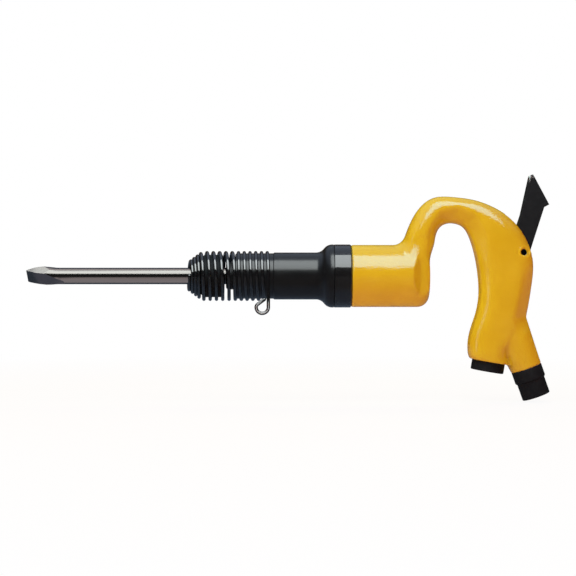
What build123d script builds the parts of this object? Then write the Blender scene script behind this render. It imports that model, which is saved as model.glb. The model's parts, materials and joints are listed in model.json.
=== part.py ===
from build123d import *
import math
import os

import numpy as np

os.makedirs("parts", exist_ok=True)

# Pneumatic chipping hammer with a gooseneck handle and a spring retainer.
# The origin is the middle of the grip on the thrust line. +X runs along the hammer from
# the chisel to the hand, +Z is up and -Y is the side with the tail of the retainer spring.
# All lengths are millimetres and all angles are degrees.

# Clearances
seat_gap = 0.3           # parts of different bodies that come to rest against each other
running_fit = 0.05       # radial play of what slides or turns in a bore
press_fit = 0.02         # radial play drawn where one piece is pressed or screwed into another

# Handle cup and the parting between the cup and the barrel
cup_front_x = -153.5
cup_length = 77.0
cup_radius = 31.0
cup_rear_rounding = 11.5
cup_bore_radius = 26.0
cup_mouth_chamfer = 0.8
wrench_flat_half = 23.0
wrench_flat_length = 10.4
wrench_flat_run_in = 6.5

# Gooseneck: neck, crown and grip, whose lines in the side view are given with the handle
neck_root_depth = 28.5
neck_root_width = 47.0
neck_width = 38.0
crown_width = 33.5
grip_width = 38.0
neck_blend = 12.0
air_way_radius = 6.0
air_way_bend = 9.0
oval_points = 16

# Throttle, whose axis leans from the plug up to the lever
throttle_x = -16.5
throttle_z = -85.5
throttle_lean = 9.73
heel_front = 18.0
heel_back = 21.0
throttle_bore_radius = 11.0
valve_chamber_height = 57.0
valve_seat_height = 9.0
valve_seat_hole = 6.0
air_chamber_radius = 8.0
air_chamber_height = 14.0
stem_radius = 3.0
stem_seal_radius = 5.0
stem_seal_height = 2.4
poppet_radius = 8.6
poppet_height = 6.8
pilot_radius = 4.0
pilot_height = 6.0
throttle_wire = 1.6
throttle_coil_radius = 6.4
throttle_turns = 6

# Throttle plug
plug_radius = 16.5
plug_head = 10.0
plug_shank = 13.0
plug_edge = 1.2
plug_socket_af = 10.0
plug_socket_depth = 5.0
seal_section = 2.0       # thickness of the rubber rings on the plug, the inlet and the barrel

# Throttle lever
lever_pivot_x = 16.3
lever_pivot_z = 23.4
lever_thickness = 12.0
lever_boss_radius = 6.5
lever_nose_radius = 4.0
lever_arm_half = 3.2     # half height of the arm from the boss to the nose that presses the stem
lever_swing = 20.0
lever_slot_play = 0.4
lever_room = 1.6         # space round the heel and the boss in the pocket
lever_pocket_height = 20.3
lever_slot_height = 50.0
lever_slot_step = 3.0
lever_edge = 1.2
lever_outline = [        # from the pivot: tip, barb, back edge, heel side and front edge
    (7.6, 76.4),
    (11.0, 78.2),
    (27.2, 47.9),
    (22.2, 45.2),
    (8.4, 2.3),
    (-5.8, 5.3),
    (-4.2, 28.2),
    (-1.1, 37.3),
]
pin_radius = 3.0
pin_length = 33.0
pin_mouth_chamfer = 0.9

# Air inlet, a leg that leans back from the grip
inlet_x = 21.25
inlet_z = -92.0
inlet_lean = 19.5
inlet_leg_radius = 15.5
inlet_leg_width = 33.5
inlet_leg_ring = 5.0
inlet_bore_radius = 9.6
inlet_bore_depth = 15.0
inlet_way_radius = 7.0
inlet_way_depth = 54.0
coupling_collar_radius = 15.5
coupling_collar_length = 12.0
coupling_radius = 14.1
coupling_length = 30.0
coupling_thread_radius = 7.5
coupling_thread_depth = 16.0
coupling_way_radius = 5.5
coupling_edge = 1.0
strainer_flange = 1.0
strainer_length = 12.0
strainer_wall = 0.8
strainer_play = 0.3
strainer_hole_radius = 1.0
strainer_rows = 3
strainer_holes = 8

# Barrel and what strikes inside it
spigot_length = 25.5
piston_radius = 14.2
piston_length = 40.0
piston_stroke = 42.0
piston_cushion = 1.5
piston_chamfer = 1.5
piston_waist_depth = 0.8
piston_waist_length = 14.0
barrel_radius = 23.5
flare_radius = 31.5
flare_length = 16.0
flare_lip = 1.5
nose_radius = 22.7
nose_length = 38.0
nose_chamfer = 1.0
hub_radius = 28.1
exhaust_groove_length = 9.0
exhaust_groove_depth = 3.0
exhaust_port_radius = 3.0
exhaust_ports = 6
return_way_radius = 2.0
return_ways = 3
return_way_turn = 30.0
way_circle = 19.2        # circle of the air ways and the dowels
deflector_length = 17.4
deflector_edge = 1.2
deflector_outlet_angle = 70.0
deflector_outlet_width = 7.0

# Air distribution between the barrel and the floor of the cup
valve_box_length = 16.0
valve_cover_length = 7.0
valve_box_radius = 25.9
spool_radius = 12.0
spool_length = 7.0
spool_travel = 2.4
spool_wall = 3.0
spool_port_radius = 7.0
valve_cover_recess = 2.5
dowel_radius = 2.0
dowels = 2
dowel_reach = 8.0
feed_port_radius = 1.8
feed_port_circle = 7.5
feed_ports = 6

# Chisel
chisel_radius = 8.25
chisel_reach = 199.0     # from the cutting edge to the front of the collar
collar_radius = 13.5
collar_length = 9.0
collar_chamfer = 1.5
chisel_play = 3.2
shank_af = 14.7
shank_length = 58.0
shank_chamfer = 1.0
blade_width = 17.5
blade_roll = 50.0
blade_half_angle = 12.3
blade_swell_radius = 9.8
blade_swell_length = 16.5
blade_swell_taper = 17.0
edge_half_thickness = 0.08
hone_length = 1.1
hone_half_angle = 27.0
bush_radius = 15.5
bush_length = 44.0

# Retainer spring and the sleeve inside it
wire = 3.5
coil_radius = 23.25      # to the middle of the wire
cone_start_radius = 13.1
cone_end_radius = 22.25
cone_turns = 3.75
cone_pitch = 3.3
free_turns = 6
groove_turns = 5
groove_pitch = 5.74
groove_lead = 3.0        # from the front of the nose to the first full turn in the groove
groove_play = 0.12
coil_lean = 2.0          # of the free turns, back on the near side and forwards on the far side
tail_drop = 31.0
tail_eye_radius = 6.0
tail_hook_radius = 3.6
tail_hook_turn = 54.0
tail_end = 8.0
sleeve_length = 17.95
sleeve_bore_play = 0.5
sleeve_front_wall = 3.2

# Stations along the hammer, from the parting forwards and backwards
cup_rear_x = cup_front_x + cup_length
barrel_rear_x = cup_front_x + spigot_length
valve_box_rear_x = barrel_rear_x + valve_box_length
cup_floor_x = valve_box_rear_x + valve_cover_length
nose_x = barrel_rear_x - shank_length - piston_length - piston_stroke - piston_cushion
collar_rear_x = nose_x - seat_gap
collar_front_x = collar_rear_x - collar_length
tip_x = collar_front_x - chisel_reach
shank_end_x = collar_rear_x + shank_length
piston_front_x = shank_end_x + seat_gap
sleeve_rear_x = collar_front_x - chisel_play - seat_gap
flare_end_x = cup_front_x - deflector_length - 2 * seat_gap
cylinder_bore_radius = piston_radius + running_fit


def axis_plane(origin, direction):
    """Plane through an axis in the X-Z plane: its Y runs along the axis, its X is the radius."""
    return Plane(origin=origin, x_dir=(direction[2], 0, -direction[0]), z_dir=(0, -1, 0))


def turned(side, *outline, mode=Mode.ADD):
    """Turn a closed outline of (radius, place along the axis) about the axis of a side plane."""
    with BuildSketch(side) as profile:
        with BuildLine():
            Polyline(*outline, close=True)
        make_face()
    revolve(profile.sketch, axis=Axis(side.origin, side.y_dir), mode=mode)


def ring(side, middle_radius, section, place):
    """Rubber ring of round section whose middle circle lies at a place along the axis."""
    with BuildSketch(side) as profile:
        with Locations((middle_radius, place)):
            Circle(section / 2)
    revolve(profile.sketch, axis=Axis(side.origin, side.y_dir))


def across(side, place):
    """Plane square to the axis of a side plane, facing along it."""
    return Plane(origin=side.from_local_coords((0, place, 0)), x_dir=side.x_dir, z_dir=side.y_dir)


def winding(ways):
    """Wire line through points with headings, by two tangent arcs from each to the next."""
    for (start, heading), (end, arrival) in zip(ways, ways[1:]):
        span = end - start
        both = heading + arrival
        bend = 2 * (1 - heading.dot(arrival))
        reach = math.sqrt(span.dot(both) ** 2 + bend * span.dot(span))
        arm = (reach - span.dot(both)) / bend
        joint = (start + heading * arm + end - arrival * arm) * 0.5
        TangentArc(start, joint, tangent=heading)
        TangentArc(joint, end, tangent=joint - (start + heading * arm))


def headed(place, turn, step=1 / 16):
    """Point and heading of a winding at a number of turns, from the formula of its places."""
    return place(turn), (place(turn + step) - place(turn - step)).normalized()


def least_gap(line, thickness, spacing=2.0):
    """Least clear distance between stretches of a wire that are not next to each other."""
    count = int(line.length / spacing)
    points = np.array([tuple(line.position_at(k / count)) for k in range(count + 1)])
    apart = np.linalg.norm(points[:, None] - points[None], axis=2)
    along = np.abs(np.subtract.outer(np.arange(count + 1), np.arange(count + 1))) * spacing
    return apart[along > 4 * thickness].min() - thickness


throttle_way = (math.sin(math.radians(throttle_lean)), 0, math.cos(math.radians(throttle_lean)))
inlet_way = (math.sin(math.radians(inlet_lean)), 0, -math.cos(math.radians(inlet_lean)))
hammer = axis_plane((0, 0, 0), (1, 0, 0))
throttle = axis_plane((throttle_x, 0, throttle_z), throttle_way)
inlet = axis_plane((inlet_x, 0, inlet_z), inlet_way)

# The lever's heel swings evenly to both sides of a line square to the throttle axis, so the
# stem goes down by nearly the same amount for each degree.
pivot = throttle.to_local_coords(Vector(lever_pivot_x, 0, lever_pivot_z))
heel_arm = pivot.X
nose_angle = math.radians(lever_swing / 2)
nose_place = (pivot.X - heel_arm * math.cos(nose_angle), pivot.Y + heel_arm * math.sin(nose_angle))
stem_top = nose_place[1] - lever_nose_radius - seat_gap
stem_travel = 2 * heel_arm * math.sin(nose_angle)
nose_point = throttle.from_local_coords((nose_place[0], nose_place[1], 0))
seat_bottom = valve_chamber_height
seat_top = seat_bottom + valve_seat_height
air_chamber_top = seat_top + air_chamber_height
throttle_air = throttle.from_local_coords((0, (seat_top + air_chamber_top) / 2, 0))
plug_seal_place = plug_shank / 2
inlet_seal_place = -inlet_bore_depth / 3
seal_half = seal_section / 2 + press_fit
poppet_top = seat_bottom - seat_gap
poppet_bottom = poppet_top - poppet_height

# Chisel: a round bar with a collar, a hexagon shank and a flat blade ground from both sides
blade_edge = Vector(0, -math.sin(math.radians(blade_roll)), math.cos(math.radians(blade_roll)))
blade_face = blade_edge.cross(Vector(1, 0, 0))
hone_half = edge_half_thickness + hone_length * math.tan(math.radians(hone_half_angle))
grind_length = (blade_swell_radius - hone_half) / math.tan(math.radians(blade_half_angle))
swell_end_x = tip_x + blade_swell_length + blade_swell_taper
with BuildPart() as chisel:
    turned(
        hammer,
        (0, tip_x),
        (blade_swell_radius, tip_x),
        (blade_swell_radius, tip_x + blade_swell_length),
        (chisel_radius, swell_end_x),
        (chisel_radius, collar_front_x),
        (collar_radius - collar_chamfer, collar_front_x),
        (collar_radius, collar_front_x + collar_chamfer),
        (collar_radius, collar_rear_x),
        (0, collar_rear_x),
    )
    with BuildSketch(Plane(origin=(0, 0, 0), x_dir=(1, 0, 0), z_dir=blade_edge)):
        with BuildLine():
            Polyline(
                (tip_x, edge_half_thickness),
                (tip_x + hone_length, hone_half),
                (tip_x + hone_length + grind_length, blade_swell_radius),
                (collar_front_x, collar_radius),
                (collar_rear_x, collar_radius),
                (collar_rear_x, -collar_radius),
                (collar_front_x, -collar_radius),
                (tip_x + hone_length + grind_length, -blade_swell_radius),
                (tip_x + hone_length, -hone_half),
                (tip_x, -edge_half_thickness),
                close=True,
            )
        make_face()
    extrude(amount=collar_radius, both=True, mode=Mode.INTERSECT)
    with BuildSketch(Plane(origin=(0, 0, 0), x_dir=(1, 0, 0), z_dir=blade_face)):
        with BuildLine():
            Polyline(
                (tip_x, blade_width / 2),
                (swell_end_x, blade_width / 2),
                (collar_front_x, collar_radius),
                (collar_rear_x, collar_radius),
                (collar_rear_x, -collar_radius),
                (collar_front_x, -collar_radius),
                (swell_end_x, -blade_width / 2),
                (tip_x, -blade_width / 2),
                close=True,
            )
        make_face()
    extrude(amount=collar_radius, both=True, mode=Mode.INTERSECT)
    with BuildSketch(Plane.YZ.offset(collar_rear_x)):
        RegularPolygon(shank_af / 2, 6, major_radius=False)
    extrude(amount=shank_length)
    chamfer(chisel.faces().sort_by(Axis.X)[-1].edges(), shank_chamfer)
chisel.part.label = "chisel"
export_step(chisel.part, "parts/chisel.step")

# Retainer spring: a cone of close turns, free turns over the sleeve, turns screwed into the
# groove of the barrel nose, and a tail bent into an eye beside the barrel
coil_inner_radius = coil_radius - wire / 2
cone_slope = (cone_end_radius - cone_start_radius) / (cone_turns * cone_pitch)
cone_back_x = sleeve_rear_x - sleeve_length - coil_lean - (coil_inner_radius - seat_gap) / cone_slope
cone_back_x += (cone_end_radius - (wire / 2 + seat_gap) * math.hypot(1, cone_slope)) / cone_slope
groove_start_x = nose_x + groove_lead
free_pitch = (groove_start_x - cone_back_x) / free_turns
cone_end_turn = cone_turns
free_end_turn = cone_end_turn + free_turns
last_turn = free_end_turn + groove_turns + 0.25
blend_turns = 0.25


def coil_place(turn):
    """Middle of the retainer wire after a number of turns from the front, the cone ending on top."""
    if turn < cone_end_turn:
        place_x = cone_back_x - (cone_end_turn - turn) * cone_pitch
        radius = cone_start_radius + (cone_end_radius - cone_start_radius) * turn / cone_turns
    else:
        free = min(turn, free_end_turn) - cone_end_turn
        place_x = cone_back_x + free * free_pitch + max(turn - free_end_turn, 0) * groove_pitch
        share = min((turn - cone_end_turn) / blend_turns, 1)
        radius = cone_end_radius + (coil_radius - cone_end_radius) * share
    angle = 2 * math.pi * (turn - cone_end_turn)
    place_x += coil_lean * min(max(free_end_turn - turn, 0), 1) * math.sin(angle)
    return Vector(place_x, -radius * math.sin(angle), radius * math.cos(angle))


def coil_ways(first_turn):
    """Points and headings a quarter turn apart, ending square down the near side of the barrel."""
    count = round((last_turn - first_turn) * 4)
    ways = [headed(coil_place, last_turn - k / 4) for k in range(count, 0, -1)]
    return ways + [(coil_place(last_turn), Vector(0, 0, -1))]


tail_top = coil_place(last_turn)
with BuildPart() as retainer_spring:
    with BuildLine() as retainer_line:
        winding(coil_ways(0))
        drop = tail_top - Vector(0, 0, tail_drop)
        Line(tail_top, drop)
        bottom = drop - Vector(tail_eye_radius, 0, tail_eye_radius)
        ThreePointArc(drop, bottom, drop - Vector(2 * tail_eye_radius, 0, 0))
        hook_middle = drop - Vector(2 * tail_eye_radius - tail_hook_radius, 0, 0)
        hook_angle = math.radians(180 - tail_hook_turn)
        hook_way = Vector(math.sin(hook_angle), 0, -math.cos(hook_angle))
        hook_out = Vector(math.cos(hook_angle), 0, math.sin(hook_angle)) * tail_hook_radius
        TangentArc(drop - Vector(2 * tail_eye_radius, 0, 0), hook_middle + hook_out, tangent=(0, 0, 1))
        Line(hook_middle + hook_out, hook_middle + hook_out + hook_way * tail_end)
    coil_wire = retainer_line.wires()[0]
    with BuildSketch(Plane(origin=coil_wire @ 0, z_dir=coil_wire % 0)):
        Circle(wire / 2)
    sweep(path=coil_wire)
retainer_spring.part.label = "retainer_spring"
export_step(retainer_spring.part, "parts/retainer_spring.step")
print("retainer spring least gap", round(least_gap(coil_wire, wire), 2), "mm")

# Retainer sleeve: fills the free turns and stops the chisel's collar from flying out
sleeve_radius = coil_inner_radius - seat_gap
sleeve_bore = chisel_radius + sleeve_bore_play
sleeve_shoulder_x = sleeve_rear_x - sleeve_length
sleeve_front_radius = sleeve_bore + sleeve_front_wall
sleeve_front_x = sleeve_shoulder_x - (sleeve_radius - sleeve_front_radius) / cone_slope
with BuildPart() as retainer_sleeve:
    turned(
        hammer,
        (sleeve_bore, sleeve_front_x),
        (sleeve_front_radius, sleeve_front_x),
        (sleeve_radius, sleeve_shoulder_x),
        (sleeve_radius, sleeve_rear_x),
        (sleeve_bore, sleeve_rear_x),
    )
retainer_sleeve.part.label = "retainer_sleeve"
export_step(retainer_sleeve.part, "parts/retainer_sleeve.step")

# Tool bush: hardened liner pressed into the nose, with a hexagon hole for the shank
with BuildPart() as tool_bush:
    turned(
        hammer,
        (0, nose_x),
        (bush_radius, nose_x),
        (bush_radius, nose_x + bush_length),
        (0, nose_x + bush_length),
    )
    with BuildSketch(Plane.YZ.offset(nose_x)):
        RegularPolygon(shank_af / 2 + running_fit, 6, major_radius=False)
    extrude(amount=bush_length, mode=Mode.SUBTRACT)
    chamfer(tool_bush.edges().filter_by(GeomType.CIRCLE), nose_chamfer)
tool_bush.part.label = "tool_bush"
export_step(tool_bush.part, "parts/tool_bush.step")

# Barrel: cylinder, grooved nose, ogee flare, exhaust hub and the spigot screwed into the cup
bush_seat_radius = bush_radius + press_fit
bush_seat_x = nose_x + bush_length + press_fit
flare_start_x = flare_end_x - flare_lip - flare_length
flare_middle = ((barrel_radius + flare_radius) / 2, flare_start_x + flare_length / 2)
spigot_radius = cup_bore_radius - press_fit
seal_place_x = cup_front_x + 2 * seal_section
seal_groove_radius = spigot_radius - seal_section - press_fit
exhaust_x = cup_front_x - seat_gap - deflector_length / 2
return_front_x = bush_seat_x + return_way_radius
with BuildPart() as barrel:
    with BuildSketch(hammer):
        with BuildLine():
            Polyline(
                (flare_radius, flare_end_x - flare_lip),
                (flare_radius, flare_end_x),
                (hub_radius, flare_end_x),
                (hub_radius, exhaust_x - exhaust_groove_length / 2),
                (hub_radius - exhaust_groove_depth, exhaust_x - exhaust_groove_length / 2),
                (hub_radius - exhaust_groove_depth, exhaust_x + exhaust_groove_length / 2),
                (hub_radius, exhaust_x + exhaust_groove_length / 2),
                (hub_radius, cup_front_x),
                (spigot_radius, cup_front_x),
                (spigot_radius, seal_place_x - seal_section / 2 - press_fit),
                (seal_groove_radius, seal_place_x - seal_section / 2 - press_fit),
                (seal_groove_radius, seal_place_x + seal_section / 2 + press_fit),
                (spigot_radius, seal_place_x + seal_section / 2 + press_fit),
                (spigot_radius, barrel_rear_x),
                (cylinder_bore_radius, barrel_rear_x),
                (cylinder_bore_radius, bush_seat_x),
                (bush_seat_radius, bush_seat_x),
                (bush_seat_radius, nose_x),
                (nose_radius - nose_chamfer, nose_x),
                (nose_radius, nose_x + nose_chamfer),
                (nose_radius, nose_x + nose_length),
                (barrel_radius, nose_x + nose_length + barrel_radius - nose_radius),
                (barrel_radius, flare_start_x),
            )
            TangentArc((barrel_radius, flare_start_x), flare_middle, tangent=(0, 1))
            TangentArc((flare_radius, flare_end_x - flare_lip), flare_middle, tangent=(0, -1))
        make_face()
    revolve(axis=Axis.X)
    with Locations(Plane.YZ.offset(exhaust_x)):
        with PolarLocations(hub_radius / 2, exhaust_ports):
            Cylinder(exhaust_port_radius, hub_radius, rotation=(0, 90, 0), mode=Mode.SUBTRACT)
    with BuildSketch(Plane.YZ.offset(return_front_x)):
        with PolarLocations(way_circle, return_ways, start_angle=return_way_turn):
            Circle(return_way_radius)
    extrude(amount=barrel_rear_x - return_front_x, mode=Mode.SUBTRACT)
    with Locations(Plane.YZ.offset(return_front_x + return_way_radius)):
        with PolarLocations(way_circle / 2, return_ways, start_angle=return_way_turn):
            Cylinder(return_way_radius, way_circle, rotation=(0, 90, 0), mode=Mode.SUBTRACT)
    with BuildSketch(Plane.YZ.offset(barrel_rear_x - dowel_reach)):
        with PolarLocations(way_circle, dowels):
            Circle(dowel_radius + press_fit)
    extrude(amount=dowel_reach, mode=Mode.SUBTRACT)
    with BuildLine(mode=Mode.PRIVATE) as groove_line:
        winding(coil_ways(free_end_turn - 1))
        Line(tail_top, tail_top - Vector(0, 0, coil_radius))
    groove_wire = groove_line.wires()[0]
    with BuildSketch(Plane(origin=groove_wire @ 0, z_dir=groove_wire % 0)):
        Circle(wire / 2 + groove_play)
    sweep(path=groove_wire, mode=Mode.SUBTRACT)
barrel.part.label = "barrel"
export_step(barrel.part, "parts/barrel.step")

# Barrel seal: rubber ring in the groove of the spigot
with BuildPart() as barrel_seal:
    ring(hammer, spigot_radius - seal_section / 2, seal_section, seal_place_x)
barrel_seal.part.label = "barrel_seal"
export_step(barrel_seal.part, "parts/barrel_seal.step")

# Piston: free hammer that flies between the valve box and the end of the shank
piston_rear_x = piston_front_x + piston_length
waist_radius = piston_radius - piston_waist_depth
waist_front_x = piston_front_x + (piston_length - piston_waist_length) / 2
with BuildPart() as piston:
    turned(
        hammer,
        (0, piston_front_x),
        (piston_radius - piston_chamfer, piston_front_x),
        (piston_radius, piston_front_x + piston_chamfer),
        (piston_radius, waist_front_x),
        (waist_radius, waist_front_x + piston_waist_depth),
        (waist_radius, waist_front_x + piston_waist_length - piston_waist_depth),
        (piston_radius, waist_front_x + piston_waist_length),
        (piston_radius, piston_rear_x - piston_chamfer),
        (piston_radius - piston_chamfer, piston_rear_x),
        (0, piston_rear_x),
    )
piston.part.label = "piston"
export_step(piston.part, "parts/piston.step")

# Exhaust deflector: ring on the hub, turned by hand to send the exhaust air away from the face
deflector_front_x = flare_end_x + seat_gap
deflector_rear_x = deflector_front_x + deflector_length
with BuildPart() as exhaust_deflector:
    turned(
        hammer,
        (hub_radius + running_fit, deflector_front_x),
        (flare_radius - deflector_edge / 2, deflector_front_x),
        (flare_radius, deflector_front_x + deflector_edge / 2),
        (flare_radius, deflector_rear_x - deflector_edge),
        (flare_radius - deflector_edge, deflector_rear_x),
        (hub_radius + running_fit, deflector_rear_x),
    )
    with BuildSketch(hammer):
        with Locations((flare_radius, exhaust_x)):
            Rectangle(flare_radius, deflector_outlet_width)
    outlet_axis = Axis((0, 0, 0), (1, 0, 0))
    revolve(axis=outlet_axis, revolution_arc=deflector_outlet_angle, mode=Mode.SUBTRACT)
exhaust_deflector.part.label = "exhaust_deflector"
export_step(exhaust_deflector.part, "parts/exhaust_deflector.step")

# Valve box: front half of the air distribution, with the chamber of the spool
spool_chamber_depth = spool_length + spool_travel + 2 * seat_gap
spool_front_x = valve_box_rear_x - spool_chamber_depth + seat_gap
with BuildPart() as valve_box:
    turned(
        hammer,
        (spool_port_radius, barrel_rear_x),
        (valve_box_radius, barrel_rear_x),
        (valve_box_radius, valve_box_rear_x),
        (spool_radius + running_fit, valve_box_rear_x),
        (spool_radius + running_fit, valve_box_rear_x - spool_chamber_depth),
        (spool_port_radius, valve_box_rear_x - spool_chamber_depth),
    )
    with BuildSketch(Plane.YZ.offset(barrel_rear_x)):
        with PolarLocations(way_circle, return_ways, start_angle=return_way_turn):
            Circle(return_way_radius)
        with PolarLocations(way_circle, dowels):
            Circle(dowel_radius + press_fit)
    extrude(amount=valve_box_length, mode=Mode.SUBTRACT)
valve_box.part.label = "valve_box"
export_step(valve_box.part, "parts/valve_box.step")

# Valve spool: light cup that jumps to and fro and sends air to either end of the piston
spool_rear_x = spool_front_x + spool_length
with BuildPart() as valve_spool:
    turned(
        hammer,
        (spool_wall, spool_front_x),
        (spool_radius, spool_front_x),
        (spool_radius, spool_rear_x),
        (spool_radius - spool_wall, spool_rear_x),
        (spool_radius - spool_wall, spool_front_x + spool_wall),
        (spool_wall, spool_front_x + spool_wall),
    )
valve_spool.part.label = "valve_spool"
export_step(valve_spool.part, "parts/valve_spool.step")

# Valve cover: rear half of the air distribution, clamped against the floor of the cup
with BuildPart() as valve_cover:
    turned(
        hammer,
        (0, valve_box_rear_x),
        (valve_box_radius, valve_box_rear_x),
        (valve_box_radius, cup_floor_x),
        (spool_radius, cup_floor_x),
        (spool_radius, cup_floor_x - valve_cover_recess),
        (0, cup_floor_x - valve_cover_recess),
    )
    with BuildSketch(Plane.YZ.offset(valve_box_rear_x)):
        with PolarLocations(feed_port_circle, feed_ports):
            Circle(feed_port_radius)
        with PolarLocations(way_circle, dowels):
            Circle(dowel_radius + press_fit)
    extrude(amount=valve_cover_length, mode=Mode.SUBTRACT)
valve_cover.part.label = "valve_cover"
export_step(valve_cover.part, "parts/valve_cover.step")

# Valve dowels: two pins that line the valve box and its cover up with the barrel
with BuildPart() as valve_dowels:
    with BuildSketch(Plane.YZ.offset(barrel_rear_x - dowel_reach)):
        with PolarLocations(way_circle, dowels):
            Circle(dowel_radius)
    extrude(amount=dowel_reach + valve_box_length + valve_cover_length)
valve_dowels.part.label = "valve_dowels"
export_step(valve_dowels.part, "parts/valve_dowels.step")

# Handle: one casting of cup, gooseneck, grip and inlet leg. Each station of the gooseneck is an
# oval that reaches from a point on the outer line to a point on the inner line of the side view.


def oval(outer, inner, width, squareness):
    """Plane and points of a superellipse whose length spans two points of the X-Z plane."""
    outer_point = Vector(outer[0], 0, outer[1])
    inner_point = Vector(inner[0], 0, inner[1])
    span = inner_point - outer_point
    along = span.normalized()
    plane = Plane((outer_point + inner_point) * 0.5, x_dir=along, z_dir=along.cross(Vector(0, 1, 0)))
    points = []
    for k in range(oval_points):
        cosine = math.cos(2 * math.pi * k / oval_points)
        sine = math.sin(2 * math.pi * k / oval_points)
        across_x = math.copysign(abs(cosine) ** (2 / squareness), cosine) * span.length / 2
        across_y = math.copysign(abs(sine) ** (2 / squareness), sine) * width / 2
        points.append((across_x, across_y))
    return plane, points


heel_outer = throttle.from_local_coords((heel_back, 0, 0))
heel_inner = throttle.from_local_coords((-heel_front, 0, 0))
leg_outer = inlet.from_local_coords((-inlet_leg_radius, 0, 0))
leg_inner = inlet.from_local_coords((inlet_leg_radius, 0, 0))
root_front_x = cup_rear_x - neck_root_depth
gooseneck = [
    ((root_front_x, 8.0), (cup_rear_x - seat_gap, 8.0), neck_root_width, 3.0),
    ((root_front_x + 1.2, 24.0), (cup_rear_x + 2.5, 23.0), neck_root_width, 3.0),
    ((root_front_x + 5.4, 41.0), (cup_rear_x + 6.5, 38.0), (neck_root_width + neck_width) / 2, 2.6),
    ((root_front_x + 14.6, 61.3), (cup_rear_x + 11.8, 49.0), neck_width, 2.3),
    ((-71.0, 78.2), (-57.0, 52.5), crown_width, 2.2),
    ((-52.0, 78.9), (-53.0, 52.6), crown_width, 2.2),
    ((-30.0, 75.6), (-44.4, 50.2), crown_width, 2.3),
    ((-5.0, 65.0), (-36.3, 39.6), (crown_width + grip_width) / 2, 2.5),
    ((15.0, 46.5), (-30.3, 21.0), grip_width, 2.8),
    ((26.9, 18.0), (-27.1, 3.0), grip_width, 3.0),
    ((26.2, -9.0), (-25.9, -15.0), grip_width, 3.0),
    ((21.2, -39.0), (-29.3, -38.0), grip_width, 3.0),
    ((9.8, -66.5), (-36.9, -66.0), grip_width, 2.8),
    ((heel_outer.X, heel_outer.Z), (heel_inner.X, heel_inner.Z), grip_width, 2.5),
]
inlet_leg = [
    ((18.6, -33.0), (-14.0, -41.0), inlet_leg_width, 2.4),
    ((26.4, -58.5), (-7.0, -68.0), inlet_leg_width, 2.4),
    ((leg_outer.X, leg_outer.Z), (leg_inner.X, leg_inner.Z), 2 * inlet_leg_radius, 2.0),
]
pocket_floor_z = lever_pivot_z - lever_boss_radius - lever_room
pocket_front_x = nose_point.X - lever_nose_radius - lever_room
slot_top_z = lever_pivot_z + lever_slot_height
lever_slot = [
    (pocket_front_x, pocket_floor_z),
    (pocket_front_x, lever_pivot_z + lever_pocket_height),
    (pocket_front_x + lever_slot_step, lever_pivot_z + lever_slot_height / 2),
    (pocket_front_x, slot_top_z),
    (lever_pivot_x + lever_slot_height, slot_top_z),
    (lever_pivot_x + lever_slot_height, pocket_floor_z),
]
air_route = [
    (cup_floor_x - valve_cover_recess / 2, 0, 5.0),
    (cup_rear_x - neck_root_depth / 2, 0, 5.0),
    (cup_rear_x - air_way_radius, 0, 46.0),
    (-68.0, 0, 65.0),
    (-44.0, 0, 65.0),
    (-20.0, 0, 46.0),
    (-15.5, 0, 12.0),
    (throttle_air.X, 0, throttle_air.Z),
]
flat_x = cup_rear_x - wrench_flat_length
with BuildSketch(Plane.XY) as wrench_flats:
    with BuildLine():
        Polyline(
            (flat_x - 2 * wrench_flat_run_in, 2 * cup_radius - wrench_flat_half),
            (flat_x, wrench_flat_half),
            (cup_rear_x, wrench_flat_half),
            (cup_rear_x, 2 * cup_radius - wrench_flat_half),
            close=True,
        )
    make_face()
    mirror(about=Plane.XZ)
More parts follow.
